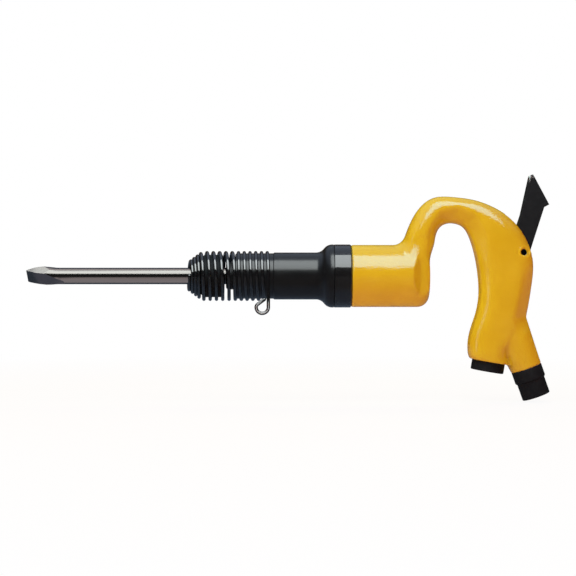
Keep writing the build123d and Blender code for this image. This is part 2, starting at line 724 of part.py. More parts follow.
with BuildPart() as handle:
    turned(hammer, (0, cup_front_x), (cup_radius, cup_front_x), (cup_radius, cup_rear_x), (0, cup_rear_x))
    fillet(handle.edges().filter_by(GeomType.CIRCLE).sort_by(Axis.X)[-1], cup_rear_rounding)
    extrude(wrench_flats.sketch, amount=cup_radius, both=True, mode=Mode.SUBTRACT)
    for station in gooseneck:
        station_plane, station_points = oval(*station)
        with BuildSketch(station_plane):
            with BuildLine():
                Spline(*station_points, periodic=True)
            make_face()
    loft()
    neck_foot = handle.edges().filter_by(GeomType.BSPLINE).filter_by_position(Axis.X, root_front_x, flat_x)
    fillet(neck_foot.sort_by(Axis.Z)[-1], neck_blend)
    extrude(wrench_flats.sketch, amount=cup_radius, both=True, mode=Mode.SUBTRACT)
    for station in inlet_leg:
        station_plane, station_points = oval(*station)
        with BuildSketch(station_plane):
            with BuildLine():
                Spline(*station_points, periodic=True)
            make_face()
    loft()
    with BuildSketch(across(inlet, -inlet_leg_ring)):
        Circle(inlet_leg_radius)
    extrude(amount=inlet_leg_ring)
    turned(
        hammer,
        (0, cup_front_x),
        (cup_bore_radius + cup_mouth_chamfer, cup_front_x),
        (cup_bore_radius, cup_front_x + cup_mouth_chamfer),
        (cup_bore_radius, cup_floor_x),
        (0, cup_floor_x),
        mode=Mode.SUBTRACT,
    )
    turned(
        throttle,
        (0, -plug_head),
        (throttle_bore_radius, -plug_head),
        (throttle_bore_radius, seat_top),
        (air_chamber_radius, seat_top),
        (air_chamber_radius, air_chamber_top),
        (stem_seal_radius, air_chamber_top),
        (stem_seal_radius, air_chamber_top + stem_seal_height),
        (stem_radius + running_fit, air_chamber_top + stem_seal_height),
        (stem_radius + running_fit, stem_top),
        (0, stem_top),
        mode=Mode.SUBTRACT,
    )
    turned(
        inlet,
        (0, coupling_length),
        (inlet_bore_radius, coupling_length),
        (inlet_bore_radius, -inlet_bore_depth),
        (inlet_way_radius, -inlet_bore_depth),
        (inlet_way_radius, -inlet_way_depth),
        (0, -inlet_way_depth),
        mode=Mode.SUBTRACT,
    )
    with BuildSketch(Plane.XZ):
        with BuildLine():
            Polyline(*lever_slot, close=True)
        make_face()
    extrude(amount=lever_thickness / 2 + lever_slot_play, both=True, mode=Mode.SUBTRACT)
    with Locations((lever_pivot_x, 0, lever_pivot_z)):
        Cylinder(pin_radius + press_fit, 2 * grip_width, rotation=(90, 0, 0), mode=Mode.SUBTRACT)
    for side_turn in (90, -90):
        with Locations(Location((lever_pivot_x, 0, lever_pivot_z), (side_turn, 0, 0))):
            with Locations((0, 0, pin_length / 2 + pin_mouth_chamfer)):
                Cone(pin_radius, pin_radius + 2 * pin_mouth_chamfer, 2 * pin_mouth_chamfer, mode=Mode.SUBTRACT)
    with BuildLine(mode=Mode.PRIVATE) as air_line:
        FilletPolyline(*air_route, radius=air_way_bend)
    air_wire = air_line.wires()[0]
    with BuildSketch(Plane(origin=air_wire @ 0, z_dir=air_wire % 0)):
        Circle(air_way_radius)
    sweep(path=air_wire, mode=Mode.SUBTRACT)
handle.part.label = "handle"
export_step(handle.part, "parts/handle.step")

# Throttle lever: pressed forwards by the hand, its heel pushes the valve stem down
with BuildPart() as throttle_lever:
    with BuildSketch(Plane.XZ):
        with BuildLine():
            Polyline(*[(lever_pivot_x + along, lever_pivot_z + up) for along, up in lever_outline], close=True)
        make_face()
    extrude(amount=lever_thickness / 2, both=True)
    fillet(throttle_lever.faces().filter_by(Axis.Y).edges(), lever_edge)
    with BuildSketch(Plane.XZ):
        with Locations((nose_point.X, nose_point.Z), (lever_pivot_x, lever_pivot_z)):
            Circle(lever_arm_half)
        make_hull()
        with Locations((nose_point.X, nose_point.Z)):
            Circle(lever_nose_radius)
        with Locations((lever_pivot_x, lever_pivot_z)):
            Circle(lever_boss_radius)
    extrude(amount=lever_thickness / 2, both=True)
    with Locations((lever_pivot_x, 0, lever_pivot_z)):
        Cylinder(pin_radius + running_fit, lever_thickness, rotation=(90, 0, 0), mode=Mode.SUBTRACT)
throttle_lever.part.label = "throttle_lever"
export_step(throttle_lever.part, "parts/throttle_lever.step")

# Lever pin: pressed through both cheeks of the handle
with BuildPart() as lever_pin:
    with Locations((lever_pivot_x, 0, lever_pivot_z)):
        Cylinder(pin_radius, pin_length, rotation=(90, 0, 0))
    chamfer(lever_pin.edges().filter_by(GeomType.CIRCLE), pin_mouth_chamfer / 2)
lever_pin.part.label = "lever_pin"
export_step(lever_pin.part, "parts/lever_pin.step")

# Throttle seat: bush pressed into the bore, which the poppet closes from below
with BuildPart() as throttle_seat:
    turned(
        throttle,
        (valve_seat_hole, seat_bottom),
        (throttle_bore_radius - press_fit, seat_bottom),
        (throttle_bore_radius - press_fit, seat_top),
        (valve_seat_hole, seat_top),
    )
throttle_seat.part.label = "throttle_seat"
export_step(throttle_seat.part, "parts/throttle_seat.step")

# Stem seal: rubber ring round the stem, above the air chamber
with BuildPart() as stem_seal:
    turned(
        throttle,
        (stem_radius + running_fit, air_chamber_top),
        (stem_seal_radius - press_fit, air_chamber_top),
        (stem_seal_radius - press_fit, air_chamber_top + stem_seal_height),
        (stem_radius + running_fit, air_chamber_top + stem_seal_height),
    )
stem_seal.part.label = "stem_seal"
export_step(stem_seal.part, "parts/stem_seal.step")

# Throttle valve: stem, poppet and the pilot that carries the spring
with BuildPart() as throttle_valve:
    turned(
        throttle,
        (0, poppet_bottom - pilot_height),
        (pilot_radius, poppet_bottom - pilot_height),
        (pilot_radius, poppet_bottom),
        (poppet_radius, poppet_bottom),
        (poppet_radius, poppet_top),
        (stem_radius, poppet_top),
        (stem_radius, stem_top),
        (0, stem_top),
    )
throttle_valve.part.label = "throttle_valve"
export_step(throttle_valve.part, "parts/throttle_valve.step")

# Throttle plug: closes the bore below the grip and carries the spring
with BuildPart() as throttle_plug:
    turned(
        throttle,
        (0, -plug_head),
        (plug_radius, -plug_head),
        (plug_radius, 0),
        (throttle_bore_radius - press_fit, 0),
        (throttle_bore_radius - press_fit, plug_seal_place - seal_half),
        (throttle_bore_radius - seal_section - 2 * press_fit, plug_seal_place - seal_half),
        (throttle_bore_radius - seal_section - 2 * press_fit, plug_seal_place + seal_half),
        (throttle_bore_radius - press_fit, plug_seal_place + seal_half),
        (throttle_bore_radius - press_fit, plug_shank),
        (0, plug_shank),
    )
    plug_rims = throttle_plug.edges().filter_by(GeomType.CIRCLE).sort_by(Axis(throttle.origin, throttle.y_dir))
    fillet(plug_rims[0], plug_edge)
    with BuildSketch(across(throttle, -plug_head)):
        RegularPolygon(plug_socket_af / 2, 6, major_radius=False)
    extrude(amount=plug_socket_depth, mode=Mode.SUBTRACT)
throttle_plug.part.label = "throttle_plug"
export_step(throttle_plug.part, "parts/throttle_plug.step")

# Plug seal: rubber ring on the shank of the plug
with BuildPart() as plug_seal:
    ring(throttle, throttle_bore_radius - press_fit - seal_section / 2, seal_section, plug_seal_place)
plug_seal.part.label = "plug_seal"
export_step(plug_seal.part, "parts/plug_seal.step")

# Throttle spring: closes the poppet and brings the lever back
throttle_coil_low = plug_shank + seat_gap + throttle_wire / 2
throttle_coil_high = poppet_bottom - seat_gap - throttle_wire / 2


def throttle_coil_place(turn):
    """Middle of the throttle spring's wire after a number of turns from the plug."""
    angle = 2 * math.pi * turn
    height = throttle_coil_low + (throttle_coil_high - throttle_coil_low) * turn / throttle_turns
    local = (throttle_coil_radius * math.cos(angle), height, throttle_coil_radius * math.sin(angle))
    return throttle.from_local_coords(Vector(*local))


with BuildPart() as throttle_spring:
    with BuildLine() as throttle_line:
        winding([headed(throttle_coil_place, k / 4) for k in range(4 * throttle_turns + 1)])
    throttle_coil_wire = throttle_line.wires()[0]
    with BuildSketch(Plane(origin=throttle_coil_wire @ 0, z_dir=throttle_coil_wire % 0)):
        Circle(throttle_wire / 2)
    sweep(path=throttle_coil_wire)
throttle_spring.part.label = "throttle_spring"
export_step(throttle_spring.part, "parts/throttle_spring.step")
print("throttle spring least gap", round(least_gap(throttle_coil_wire, throttle_wire), 2), "mm")

# Inlet coupling: screwed into the leg, with a threaded mouth for the air line
shank_depth = inlet_bore_depth - strainer_flange
shank_radius = inlet_bore_radius - press_fit
with BuildPart() as inlet_coupling:
    turned(
        inlet,
        (coupling_way_radius, -shank_depth),
        (shank_radius, -shank_depth),
        (shank_radius, inlet_seal_place - seal_half),
        (inlet_bore_radius - seal_section - 2 * press_fit, inlet_seal_place - seal_half),
        (inlet_bore_radius - seal_section - 2 * press_fit, inlet_seal_place + seal_half),
        (shank_radius, inlet_seal_place + seal_half),
        (shank_radius, 0),
        (coupling_collar_radius, 0),
        (coupling_collar_radius, coupling_collar_length),
        (coupling_radius, coupling_collar_length + coupling_collar_radius - coupling_radius),
        (coupling_radius, coupling_length - coupling_edge),
        (coupling_radius - coupling_edge, coupling_length),
        (coupling_thread_radius, coupling_length),
        (coupling_thread_radius, coupling_length - coupling_thread_depth),
        (coupling_way_radius, coupling_length - coupling_thread_depth),
    )
inlet_coupling.part.label = "inlet_coupling"
export_step(inlet_coupling.part, "parts/inlet_coupling.step")

# Inlet seal: rubber ring on the shank of the coupling
with BuildPart() as inlet_seal:
    ring(inlet, shank_radius - seal_section / 2, seal_section, inlet_seal_place)
inlet_seal.part.label = "inlet_seal"
export_step(inlet_seal.part, "parts/inlet_seal.step")

# Inlet strainer: brass thimble with rows of holes, clamped by the end of the coupling
strainer_radius = inlet_way_radius - strainer_play
with BuildPart() as inlet_strainer:
    turned(
        inlet,
        (strainer_radius - strainer_wall, -shank_depth),
        (shank_radius, -shank_depth),
        (shank_radius, -inlet_bore_depth),
        (strainer_radius, -inlet_bore_depth),
        (strainer_radius, -inlet_bore_depth - strainer_length),
        (0, -inlet_bore_depth - strainer_length),
        (0, -inlet_bore_depth - strainer_length + strainer_wall),
        (strainer_radius - strainer_wall, -inlet_bore_depth - strainer_length + strainer_wall),
    )
    for row in range(strainer_rows):
        row_place = -inlet_bore_depth - strainer_length * (row + 1) / (strainer_rows + 1)
        with Locations(across(inlet, row_place)):
            with PolarLocations(strainer_radius, strainer_holes, start_angle=180 * row / strainer_holes):
                Cylinder(strainer_hole_radius, 4 * strainer_wall, rotation=(0, 90, 0), mode=Mode.SUBTRACT)
inlet_strainer.part.label = "inlet_strainer"
export_step(inlet_strainer.part, "parts/inlet_strainer.step")
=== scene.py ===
# %% [markdown]
# # A pneumatic chipping hammer
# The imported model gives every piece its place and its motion. This file gives the pieces their
# looks: first the helpers, the camera and the studio, then one finish after another, then the
# pieces that deserve a finer surface than the solid has.

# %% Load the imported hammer
import bmesh
import bpy
import json
import math
import numpy as np
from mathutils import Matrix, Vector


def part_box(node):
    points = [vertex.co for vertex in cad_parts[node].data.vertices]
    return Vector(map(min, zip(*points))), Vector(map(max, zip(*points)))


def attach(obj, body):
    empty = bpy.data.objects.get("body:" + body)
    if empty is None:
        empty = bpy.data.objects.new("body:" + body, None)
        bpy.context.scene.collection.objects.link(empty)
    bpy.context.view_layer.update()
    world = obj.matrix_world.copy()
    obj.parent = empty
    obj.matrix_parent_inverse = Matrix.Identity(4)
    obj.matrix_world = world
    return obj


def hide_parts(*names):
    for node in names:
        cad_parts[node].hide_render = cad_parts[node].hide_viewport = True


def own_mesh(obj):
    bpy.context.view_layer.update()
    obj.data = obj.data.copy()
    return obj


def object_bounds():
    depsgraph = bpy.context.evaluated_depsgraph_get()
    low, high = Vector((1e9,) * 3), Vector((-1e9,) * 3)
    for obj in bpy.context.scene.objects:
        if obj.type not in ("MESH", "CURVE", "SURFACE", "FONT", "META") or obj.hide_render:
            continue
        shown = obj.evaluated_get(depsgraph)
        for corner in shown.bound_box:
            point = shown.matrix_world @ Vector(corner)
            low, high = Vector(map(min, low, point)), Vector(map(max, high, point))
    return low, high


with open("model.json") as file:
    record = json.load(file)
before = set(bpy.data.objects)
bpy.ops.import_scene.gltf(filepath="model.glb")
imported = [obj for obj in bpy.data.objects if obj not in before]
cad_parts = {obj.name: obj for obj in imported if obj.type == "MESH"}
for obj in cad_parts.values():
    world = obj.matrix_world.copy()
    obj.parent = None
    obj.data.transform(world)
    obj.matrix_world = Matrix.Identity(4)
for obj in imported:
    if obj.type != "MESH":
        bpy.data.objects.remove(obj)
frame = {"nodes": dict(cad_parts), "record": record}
cad_box = [list(corner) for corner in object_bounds()]
nodes = frame["nodes"]
mounts = {mount["name"]: mount for mount in frame["record"]["mounts"]}

# %% [markdown]
# ## Millimetres, colours and nodes
# The hammer is drawn in millimetres and Blender works in metres, so one factor stands between
# them. Colours are written as on a paint chart, in sRGB, and turned to linear light in one
# place. Node trees could be built by hand in the editor; one small function that adds a node,
# sets it and links it keeps every finish readable as a list.

# %% Helpers for colours and nodes
MM = 0.001


def linear(chart_colour):
    """sRGB hex to linear RGBA: a straight line near black, a power of 2.4 above it."""
    channel = np.array([int(chart_colour[k:k + 2], 16) for k in (1, 3, 5)]) / 255
    light = np.where(channel <= 0.04045, channel / 12.92, ((channel + 0.055) / 1.055) ** 2.4)
    return (*light, 1.0)


def add(tree, kind, inputs=None, stops=(), **settings):
    """Add a node, give it its settings, set or link each named input, and put the stops of a
    colour ramp at their places with their chart colours."""
    node = tree.nodes.new(kind)
    for name, value in settings.items():
        setattr(node, name, value)
    for name, value in (inputs or {}).items():
        if isinstance(value, bpy.types.NodeSocket):
            tree.links.new(value, node.inputs[name])
        else:
            node.inputs[name].default_value = value
    for number, (where, colour) in enumerate(stops):
        node.color_ramp.elements[number].position = where
        node.color_ramp.elements[number].color = linear(colour)
    return node


def finish(name):
    """A new material with an empty tree, and the place on the piece that its patterns read."""
    material = bpy.data.materials.new(name)
    material.use_nodes = True
    tree = material.node_tree
    tree.nodes.clear()
    place = add(tree, "ShaderNodeTexCoord").outputs["Object"]
    return material, tree, place


print("one millimetre is", MM, "metres")

# %% [markdown]
# ## Camera
# The photograph looks square at the side of the hammer from about a metre and a half. A long
# lens keeps the ends of the hammer from spreading, so the picture measures one millimetre for
# each of its 576 pixels at the middle of the tool.

# %% Camera
view_distance = 1.6
view_width = 0.576
look_at = np.array([-217.0, 0.0, -12.0]) * MM
lens = bpy.data.cameras.new("camera")
lens.sensor_width = 36.0
lens.lens = lens.sensor_width * view_distance / view_width
camera = bpy.data.objects.new("camera", lens)
camera.location = look_at + np.array([0, -view_distance, 0])
camera.rotation_euler = (math.pi / 2, 0, 0)
bpy.context.scene.collection.objects.link(camera)
bpy.context.scene.camera = camera
print("lens", round(lens.lens, 1), "mm")

# %% [markdown]
# ## Surfaces from grids
# A piece can be modelled by hand, vertex by vertex. Here each one is a sheet of points worked
# out by a formula of two parameters. The sheet becomes a mesh in one step: every point is
# joined to its neighbours, and where the sheet closes on itself the last row meets the first.
# Points that fall together, as at a pole, are merged, and the faces are turned outwards.

# %% Grid to mesh
same_place = 0.001 * MM


def skin(name, points, close_rows=False, close_columns=True, along=None, around=0.0):
    """Mesh of quads between neighbouring points of a grid (rows, columns, 3) in millimetres. With
    a length along each row and a step around, each quad keeps its place on the sheet as a UV map."""
    rows, columns = points.shape[:2]
    index = np.arange(rows * columns).reshape(rows, columns)
    beside = np.roll(index, -1, axis=1)
    quads = np.stack(
        [index, beside, np.roll(beside, -1, axis=0), np.roll(index, -1, axis=0)], axis=-1)
    quads = quads if close_rows else quads[:-1]
    quads = quads if close_columns else quads[:, :-1]
    mesh = bpy.data.meshes.new(name)
    mesh.from_pydata((points.reshape(-1, 3) * MM).tolist(), [], quads.reshape(-1, 4).tolist())
    if along is not None:
        start = np.stack(
            np.broadcast_arrays(along[:-1, None], np.arange(columns) * around), axis=-1)
        ahead = np.stack(
            np.broadcast_arrays(np.diff(along)[:, None], np.zeros(columns)), axis=-1)
        aside = np.array([0.0, around])
        sheet = np.stack([start, start + aside, start + aside + ahead, start + ahead], axis=2) * MM
        mesh.uv_layers.new(name="sheet").data.foreach_set("uv", sheet.astype(np.float32).ravel())
    tidy = bmesh.new()
    tidy.from_mesh(mesh)
    bmesh.ops.remove_doubles(tidy, verts=tidy.verts, dist=same_place)
    bmesh.ops.recalc_face_normals(tidy, faces=tidy.faces)
    tidy.to_mesh(mesh)
    tidy.free()
    mesh.shade_smooth()
    piece = bpy.data.objects.new(name, mesh)
    bpy.context.scene.collection.objects.link(piece)
    return piece


def settle(piece, body, slot, material, *replaced):
    """Put a piece on its body, give it its finish and hide the solids it stands for; the slot is not
    used.
    """
    piece.data.materials.clear()
    piece.data.materials.append(material)
    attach(piece, body)
    if replaced:
        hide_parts(*replaced)
    print(piece.name, len(piece.data.polygons), "faces on", body)


# %% [markdown]
# ## Lamps
# The photograph was lit by one broad soft box above the camera. On every round piece it lies as
# a band of light with a clean lower edge. One lamp could both shine and be mirrored. Two are
# easier to set: the box that the gloss mirrors gives no other light, and the light beside it,
# which gives the colours, is never mirrored. The lamps are a little green and the room is
# reddish, so that the yellow turns to lemon where it faces the lamps and to orange in its
# shade, as in the photograph. A box at the heel of the hand does the same for the back of the
# grip. A bright blade needs its own reflections, as product photographers know: small boxes
# and cards stand round the chisel, and only it sees them.

# %% Lamps
def soft_box(name, place, target, size, power, tint, mirrored=True, lighting=True):
    """Rectangular lamp of (width, depth) in metres at a place, facing a target."""
    lamp = bpy.data.lights.new(name, "AREA")
    lamp.shape = "RECTANGLE"
    lamp.size, lamp.size_y = size
    lamp.energy = power
    lamp.color = linear(tint)[:3]
    box = bpy.data.objects.new(name, lamp)
    way = np.array(target) - np.array(place)
    tilt = math.atan2(math.hypot(way[0], way[1]), -way[2])
    box.location = place
    box.rotation_euler = (tilt, 0, math.atan2(-way[0], way[1]))
    box.visible_glossy = mirrored
    box.visible_diffuse = lighting
    bpy.context.scene.collection.objects.link(box)
    return box


middle = (look_at[0], 0.0, 0.0)
grip = (0.0, 0.0, -0.02)
card_level = cad_box[0][2]
soft_box(
    "overhead_box", (0.05, -0.61, 0.915), (0.05, 0.0, 0.0), (1.0, 1.03), 11.5, "#f3faf8",
    lighting=False)
soft_box(
    "overhead_light", (-0.4, -0.62, 0.93), (-0.2, 0.0, 0.0), (1.5, 1.03), 17.4, "#bfffff",
    mirrored=False)
soft_box("rear_box", (middle[0], 0.75, 0.95), middle, (1.3, 0.5), 9.0, "#ccffa0", mirrored=False)
soft_box("heel_box", (0.75, 0.75, 0.35), grip, (0.6, 0.8), 5.5, "#90ffd8", mirrored=False)
left_strip = soft_box("left_strip", (-1.8, -1.1, 0.25), middle, (0.6, 1.3), 1.7, "#ffffff")
soft_box("front_light", (-1.5, -1.05, 0.4), middle, (1.4, 1.0), 4.2, "#deffe8", mirrored=False)
blade_box = soft_box(
    "blade_box", (-0.825, -0.61, 0.915), (-0.825, 0.0, 0.0), (0.75, 1.03), 8.65, "#f3faf8")
chisel_lamps = [
    soft_box("bar_box", (-0.55, 0.15, 1.1), (-0.55, 0.15, 0.0), (0.8, 0.5), 1.4, "#fff4ee"),
    soft_box("bar_card", (-0.3955, -0.152, card_level), (-0.3955, -0.152, 1.0),
             (0.165, 0.376), 0.166, "#f0e4e8"),
    soft_box("blade_card", (-0.608, -0.152, card_level), (-0.608, -0.152, 1.0),
             (0.26, 0.376), 0.058, "#d8d0e8"),
]

# %% [markdown]
# ## Tent
# Shiny black and bare steel would mirror a white room from all sides and look grey, so a
# photographer hangs a tent of dark cloth round the set and leaves the light in from above. The
# tent is a bowl with a floor cloth, nearly black in front, brownish at the back, paler under
# the top, and bluish below the hammer. Its colours could be lit by lamps of their own. Here the
# cloth glows by itself, so that they are the colours that the black pieces mirror. Only
# reflections see the tent: the lamps, the camera and the paper don't.

# %% Dark cloth
floor_level = cad_box[0][2] - 1.0 * MM
tent_radius = 2.3
dark_cloth, tree, place = finish("dark_cloth")
spot = add(tree, "ShaderNodeSeparateXYZ", {"Vector": place}).outputs
ends = {"Value": spot["Z"], "From Min": floor_level, "From Max": floor_level + tent_radius}
height = add(tree, "ShaderNodeMapRange", ends).outputs["Result"]
front = add(tree, "ShaderNodeValToRGB", {"Fac": height}, [(0.5, "#2c2c2e"), (0.8, "#96a0b2")])
back = add(tree, "ShaderNodeValToRGB", {"Fac": height}, [(0.5, "#3a3028"), (0.8, "#96a0b2")])
ends = {"Value": spot["Y"], "From Min": -0.2, "From Max": 1.8}
behind = add(tree, "ShaderNodeMapRange", ends).outputs["Result"]
wall = {"Factor": behind, "A": front.outputs["Color"], "B": back.outputs["Color"]}
wall = add(tree, "ShaderNodeMix", wall, data_type="RGBA").outputs["Result"]
ends = {"Value": spot["Y"], "From Min": -0.16, "From Max": -0.07}
under = add(tree, "ShaderNodeMapRange", ends).outputs["Result"]
below = add(tree, "ShaderNodeValToRGB", {"Fac": under}, [(0.0, "#4c4c4e"), (1.0, "#566272")])
ends = {"Value": height, "From Min": 0.002, "From Max": 0.012}
rise = add(tree, "ShaderNodeMapRange", ends).outputs["Result"]
cloth = {"Factor": rise, "A": below.outputs["Color"], "B": wall}
cloth = add(tree, "ShaderNodeMix", cloth, data_type="RGBA").outputs["Result"]
glow = add(tree, "ShaderNodeEmission", {"Color": cloth, "Strength": 1.0})
add(tree, "ShaderNodeOutputMaterial", {"Surface": glow.outputs["Emission"]})
print("finish", dark_cloth.name)

# %% Hang the tent
cloth_lift = 0.5
floor_rows, wall_rows, tent_columns = 12, 24, 64
around = np.linspace(0, 2 * math.pi, tent_columns, endpoint=False)
climb = np.linspace(0, math.pi / 2, wall_rows)[1:]
tent_radii = np.concatenate([np.linspace(0, 1, floor_rows), np.cos(climb)]) * tent_radius / MM
tent_heights = np.concatenate([np.zeros(floor_rows), np.sin(climb)]) * tent_radius / MM
tent_points = np.stack(np.broadcast_arrays(
    tent_radii[:, None] * np.cos(around) + middle[0] / MM,
    tent_radii[:, None] * np.sin(around),
    tent_heights[:, None] + floor_level / MM + cloth_lift), axis=-1)
tent = skin("tent", tent_points)
tent.data.materials.append(dark_cloth)
tent.visible_camera = False
tent.visible_diffuse = False
tent.visible_transmission = False
tent.visible_shadow = False
print("tent of", len(tent.data.polygons), "faces")

# %% [markdown]
# ## Room and paper
# The hammer stands on pale paper that runs on into a white background. A stronger light could
# make them white, but it would bleach the hammer too. So the camera and the mirrors see plain
# white, and the light on its way round the room sees its reddish walls. Near the hammer a
# small share of the paper is lit like any paper, and that share keeps the hammer's shadow.

# %% Room
def seen_ray(tree):
    """1 for rays from the camera, from a mirror or through glass, and 0 for light on its way."""
    ray = add(tree, "ShaderNodeLightPath").outputs
    seen = ray["Is Camera Ray"]
    for other in ("Is Glossy Ray", "Is Transmission Ray"):
        both = {0: seen, 1: ray[other]}
        seen = add(tree, "ShaderNodeMath", both, operation="MAXIMUM").outputs["Value"]
    return seen


world = bpy.data.worlds.new("studio")
bpy.context.scene.world = world
world.use_nodes = True
tree = world.node_tree
tree.nodes.clear()
room = add(tree, "ShaderNodeBackground", {"Color": linear("#ff5870"), "Strength": 0.53})
white = add(tree, "ShaderNodeBackground", {"Color": linear("#ffffff"), "Strength": 1.0})
choice = add(tree, "ShaderNodeMixShader", {
    0: seen_ray(tree), 1: room.outputs["Background"], 2: white.outputs["Background"]})
add(tree, "ShaderNodeOutputWorld", {"Surface": choice.outputs["Shader"]})
bpy.context.scene.view_settings.view_transform = "Standard"
print("room", world.name)

# %% Paper on the floor
paper_reach = 6000.0
corners = np.array([[[-1, -1], [1, -1]], [[-1, 1], [1, 1]]]) * paper_reach
floor_points = np.concatenate([corners, np.full((2, 2, 1), floor_level / MM)], axis=-1)
floor = skin("floor", floor_points, close_columns=False)
pale_paper, tree, place = finish("pale_paper")
paper = add(tree, "ShaderNodeBsdfPrincipled", {"Base Color": linear("#f2ccbc"), "Roughness": 0.9})
white = add(tree, "ShaderNodeEmission", {"Color": linear("#ffffff"), "Strength": 1.0})
under_hammer = {0: place, 1: (middle[0], 0, floor_level)}
far = add(tree, "ShaderNodeVectorMath", under_hammer, operation="DISTANCE").outputs["Value"]
ends = {"Value": far, "From Min": 0.35, "From Max": 1.1, "To Min": 0.93, "To Max": 1.0}
share = {0: add(tree, "ShaderNodeMapRange", ends).outputs["Result"], 1: seen_ray(tree)}
share = add(tree, "ShaderNodeMath", share, operation="MULTIPLY").outputs["Value"]
choice = add(tree, "ShaderNodeMixShader", {
    0: share, 1: paper.outputs["BSDF"], 2: white.outputs["Emission"]})
add(tree, "ShaderNodeOutputMaterial", {"Surface": choice.outputs["Shader"]})
floor.data.materials.append(pale_paper)
print("floor at", round(floor_level / MM, 1), "mm")

# %% [markdown]
# ## Yellow enamel
# The handle is a casting, sprayed with a thick gloss enamel. Sprayed enamel never levels quite
# flat: it keeps a fine orange peel, and under it the casting itself swells a little. Both show
# only in the highlights, which they break up at their edges, so both are bumps. The colour
# drifts a little with the thickness of the coat. The enamel is rich in resin, so its refractive
# index is high and one layer carries both the colour and the sharp reflections.

# %% Yellow enamel
yellow_enamel, tree, place = finish("sprayed_yellow_enamel")
drift = {"Vector": place, "Scale": 1 / (28 * MM), "Detail": 3.0}
drift = add(tree, "ShaderNodeTexNoise", drift).outputs["Fac"]
peel = {"Vector": place, "Scale": 1 / (1.8 * MM), "Detail": 1.0}
peel = add(tree, "ShaderNodeTexNoise", peel).outputs["Fac"]
swell = {"Vector": place, "Scale": 1 / (15 * MM), "Detail": 0.0}
swell = add(tree, "ShaderNodeTexNoise", swell).outputs["Fac"]
colour = add(tree, "ShaderNodeValToRGB", {"Fac": drift}, [(0.3, "#ddad1a"), (0.7, "#e4b622")])
gloss = add(tree, "ShaderNodeMapRange", {"Value": drift, "To Min": 0.06, "To Max": 0.12})
cast = add(tree, "ShaderNodeBump", {"Height": swell, "Distance": 0.22 * MM})
coat = {"Height": peel, "Distance": 0.16 * MM, "Normal": cast.outputs["Normal"]}
coat = add(tree, "ShaderNodeBump", coat)
shader = add(tree, "ShaderNodeBsdfPrincipled", {
    "Base Color": colour.outputs["Color"], "Roughness": gloss.outputs["Result"],
    "Normal": coat.outputs["Normal"], "IOR": 1.85, "Specular Tint": linear("#80e2ff")})
add(tree, "ShaderNodeOutputMaterial", {"Surface": shader.outputs["BSDF"]})
print("finish", yellow_enamel.name)

# %% [markdown]
# ## Black finishes
# The steel pieces are black, but not alike. The deflector is lacquered and shines. The barrel
# was turned, blackened hot in a salt bath and oiled, which leaves a satin skin with the faintest
# rings of the tool. The wire is drawn before it is blackened, so its fine lines run along it,
# and the outer crest of its tail, on the side that faces the camera, carries a painted highlight
# of light grey. The lever, the plug and the coupling are phosphated: nearly matt, with a fine
# crystal grain, worn at their edges and knocked bare at the tip of the lever.

# %% Black lacquer
black_lacquer, tree, place = finish("black_lacquer")
cloud = {"Vector": place, "Scale": 1 / (6 * MM), "Detail": 4.0}
cloud = add(tree, "ShaderNodeTexNoise", cloud).outputs["Fac"]
wave = {"Vector": place, "Scale": 1 / (5 * MM), "Detail": 0.0}
wave = add(tree, "ShaderNodeTexNoise", wave).outputs["Fac"]
colour = add(tree, "ShaderNodeValToRGB", {"Fac": cloud}, [(0.3, "#101011"), (0.7, "#151516")])
gloss = add(tree, "ShaderNodeMapRange", {"Value": cloud, "To Min": 0.2, "To Max": 0.35})
level = add(tree, "ShaderNodeBump", {"Height": wave, "Distance": 0.02 * MM})
shader = add(tree, "ShaderNodeBsdfPrincipled", {
    "Base Color": colour.outputs["Color"], "Roughness": gloss.outputs["Result"],
    "Specular IOR Level": 0.2, "Coat Weight": 1.0, "Coat Roughness": 0.05, "Coat IOR": 1.8,
    "Coat Normal": level.outputs["Normal"]})
add(tree, "ShaderNodeOutputMaterial", {"Surface": shader.outputs["BSDF"]})
print("finish", black_lacquer.name)

# %% Blackened steel
one_wave = 0.314  # the length of one wave of the wave texture at a scale of 1
blackened_steel, tree, place = finish("blackened_turned_steel")
cloud = {"Vector": place, "Scale": 1 / (9 * MM), "Detail": 5.0}
cloud = add(tree, "ShaderNodeTexNoise", cloud).outputs["Fac"]
colour = add(tree, "ShaderNodeValToRGB", {"Fac": cloud}, [(0.3, "#0e0e10"), (0.7, "#141416")])
gloss = add(tree, "ShaderNodeMapRange", {"Value": cloud, "To Min": 0.26, "To Max": 0.4})
# The tool left a ring every tenth of a millimetre; they are drawn at 0.9 mm so that they show.
rings = {"Vector": place, "Scale": one_wave / (0.9 * MM), "Distortion": 0.0}
rings = add(tree, "ShaderNodeTexWave", rings, bands_direction="X").outputs["Fac"]
turned = add(tree, "ShaderNodeBump", {"Height": rings, "Distance": 0.002 * MM}).outputs["Normal"]
shader = add(tree, "ShaderNodeBsdfPrincipled", {
    "Base Color": colour.outputs["Color"], "Roughness": gloss.outputs["Result"], "Normal": turned,
    "Specular IOR Level": 0.35, "Coat Weight": 0.7, "Coat Roughness": 0.2, "Coat IOR": 1.6,
    "Coat Normal": turned})
add(tree, "ShaderNodeOutputMaterial", {"Surface": shader.outputs["BSDF"]})
print("finish", blackened_steel.name)

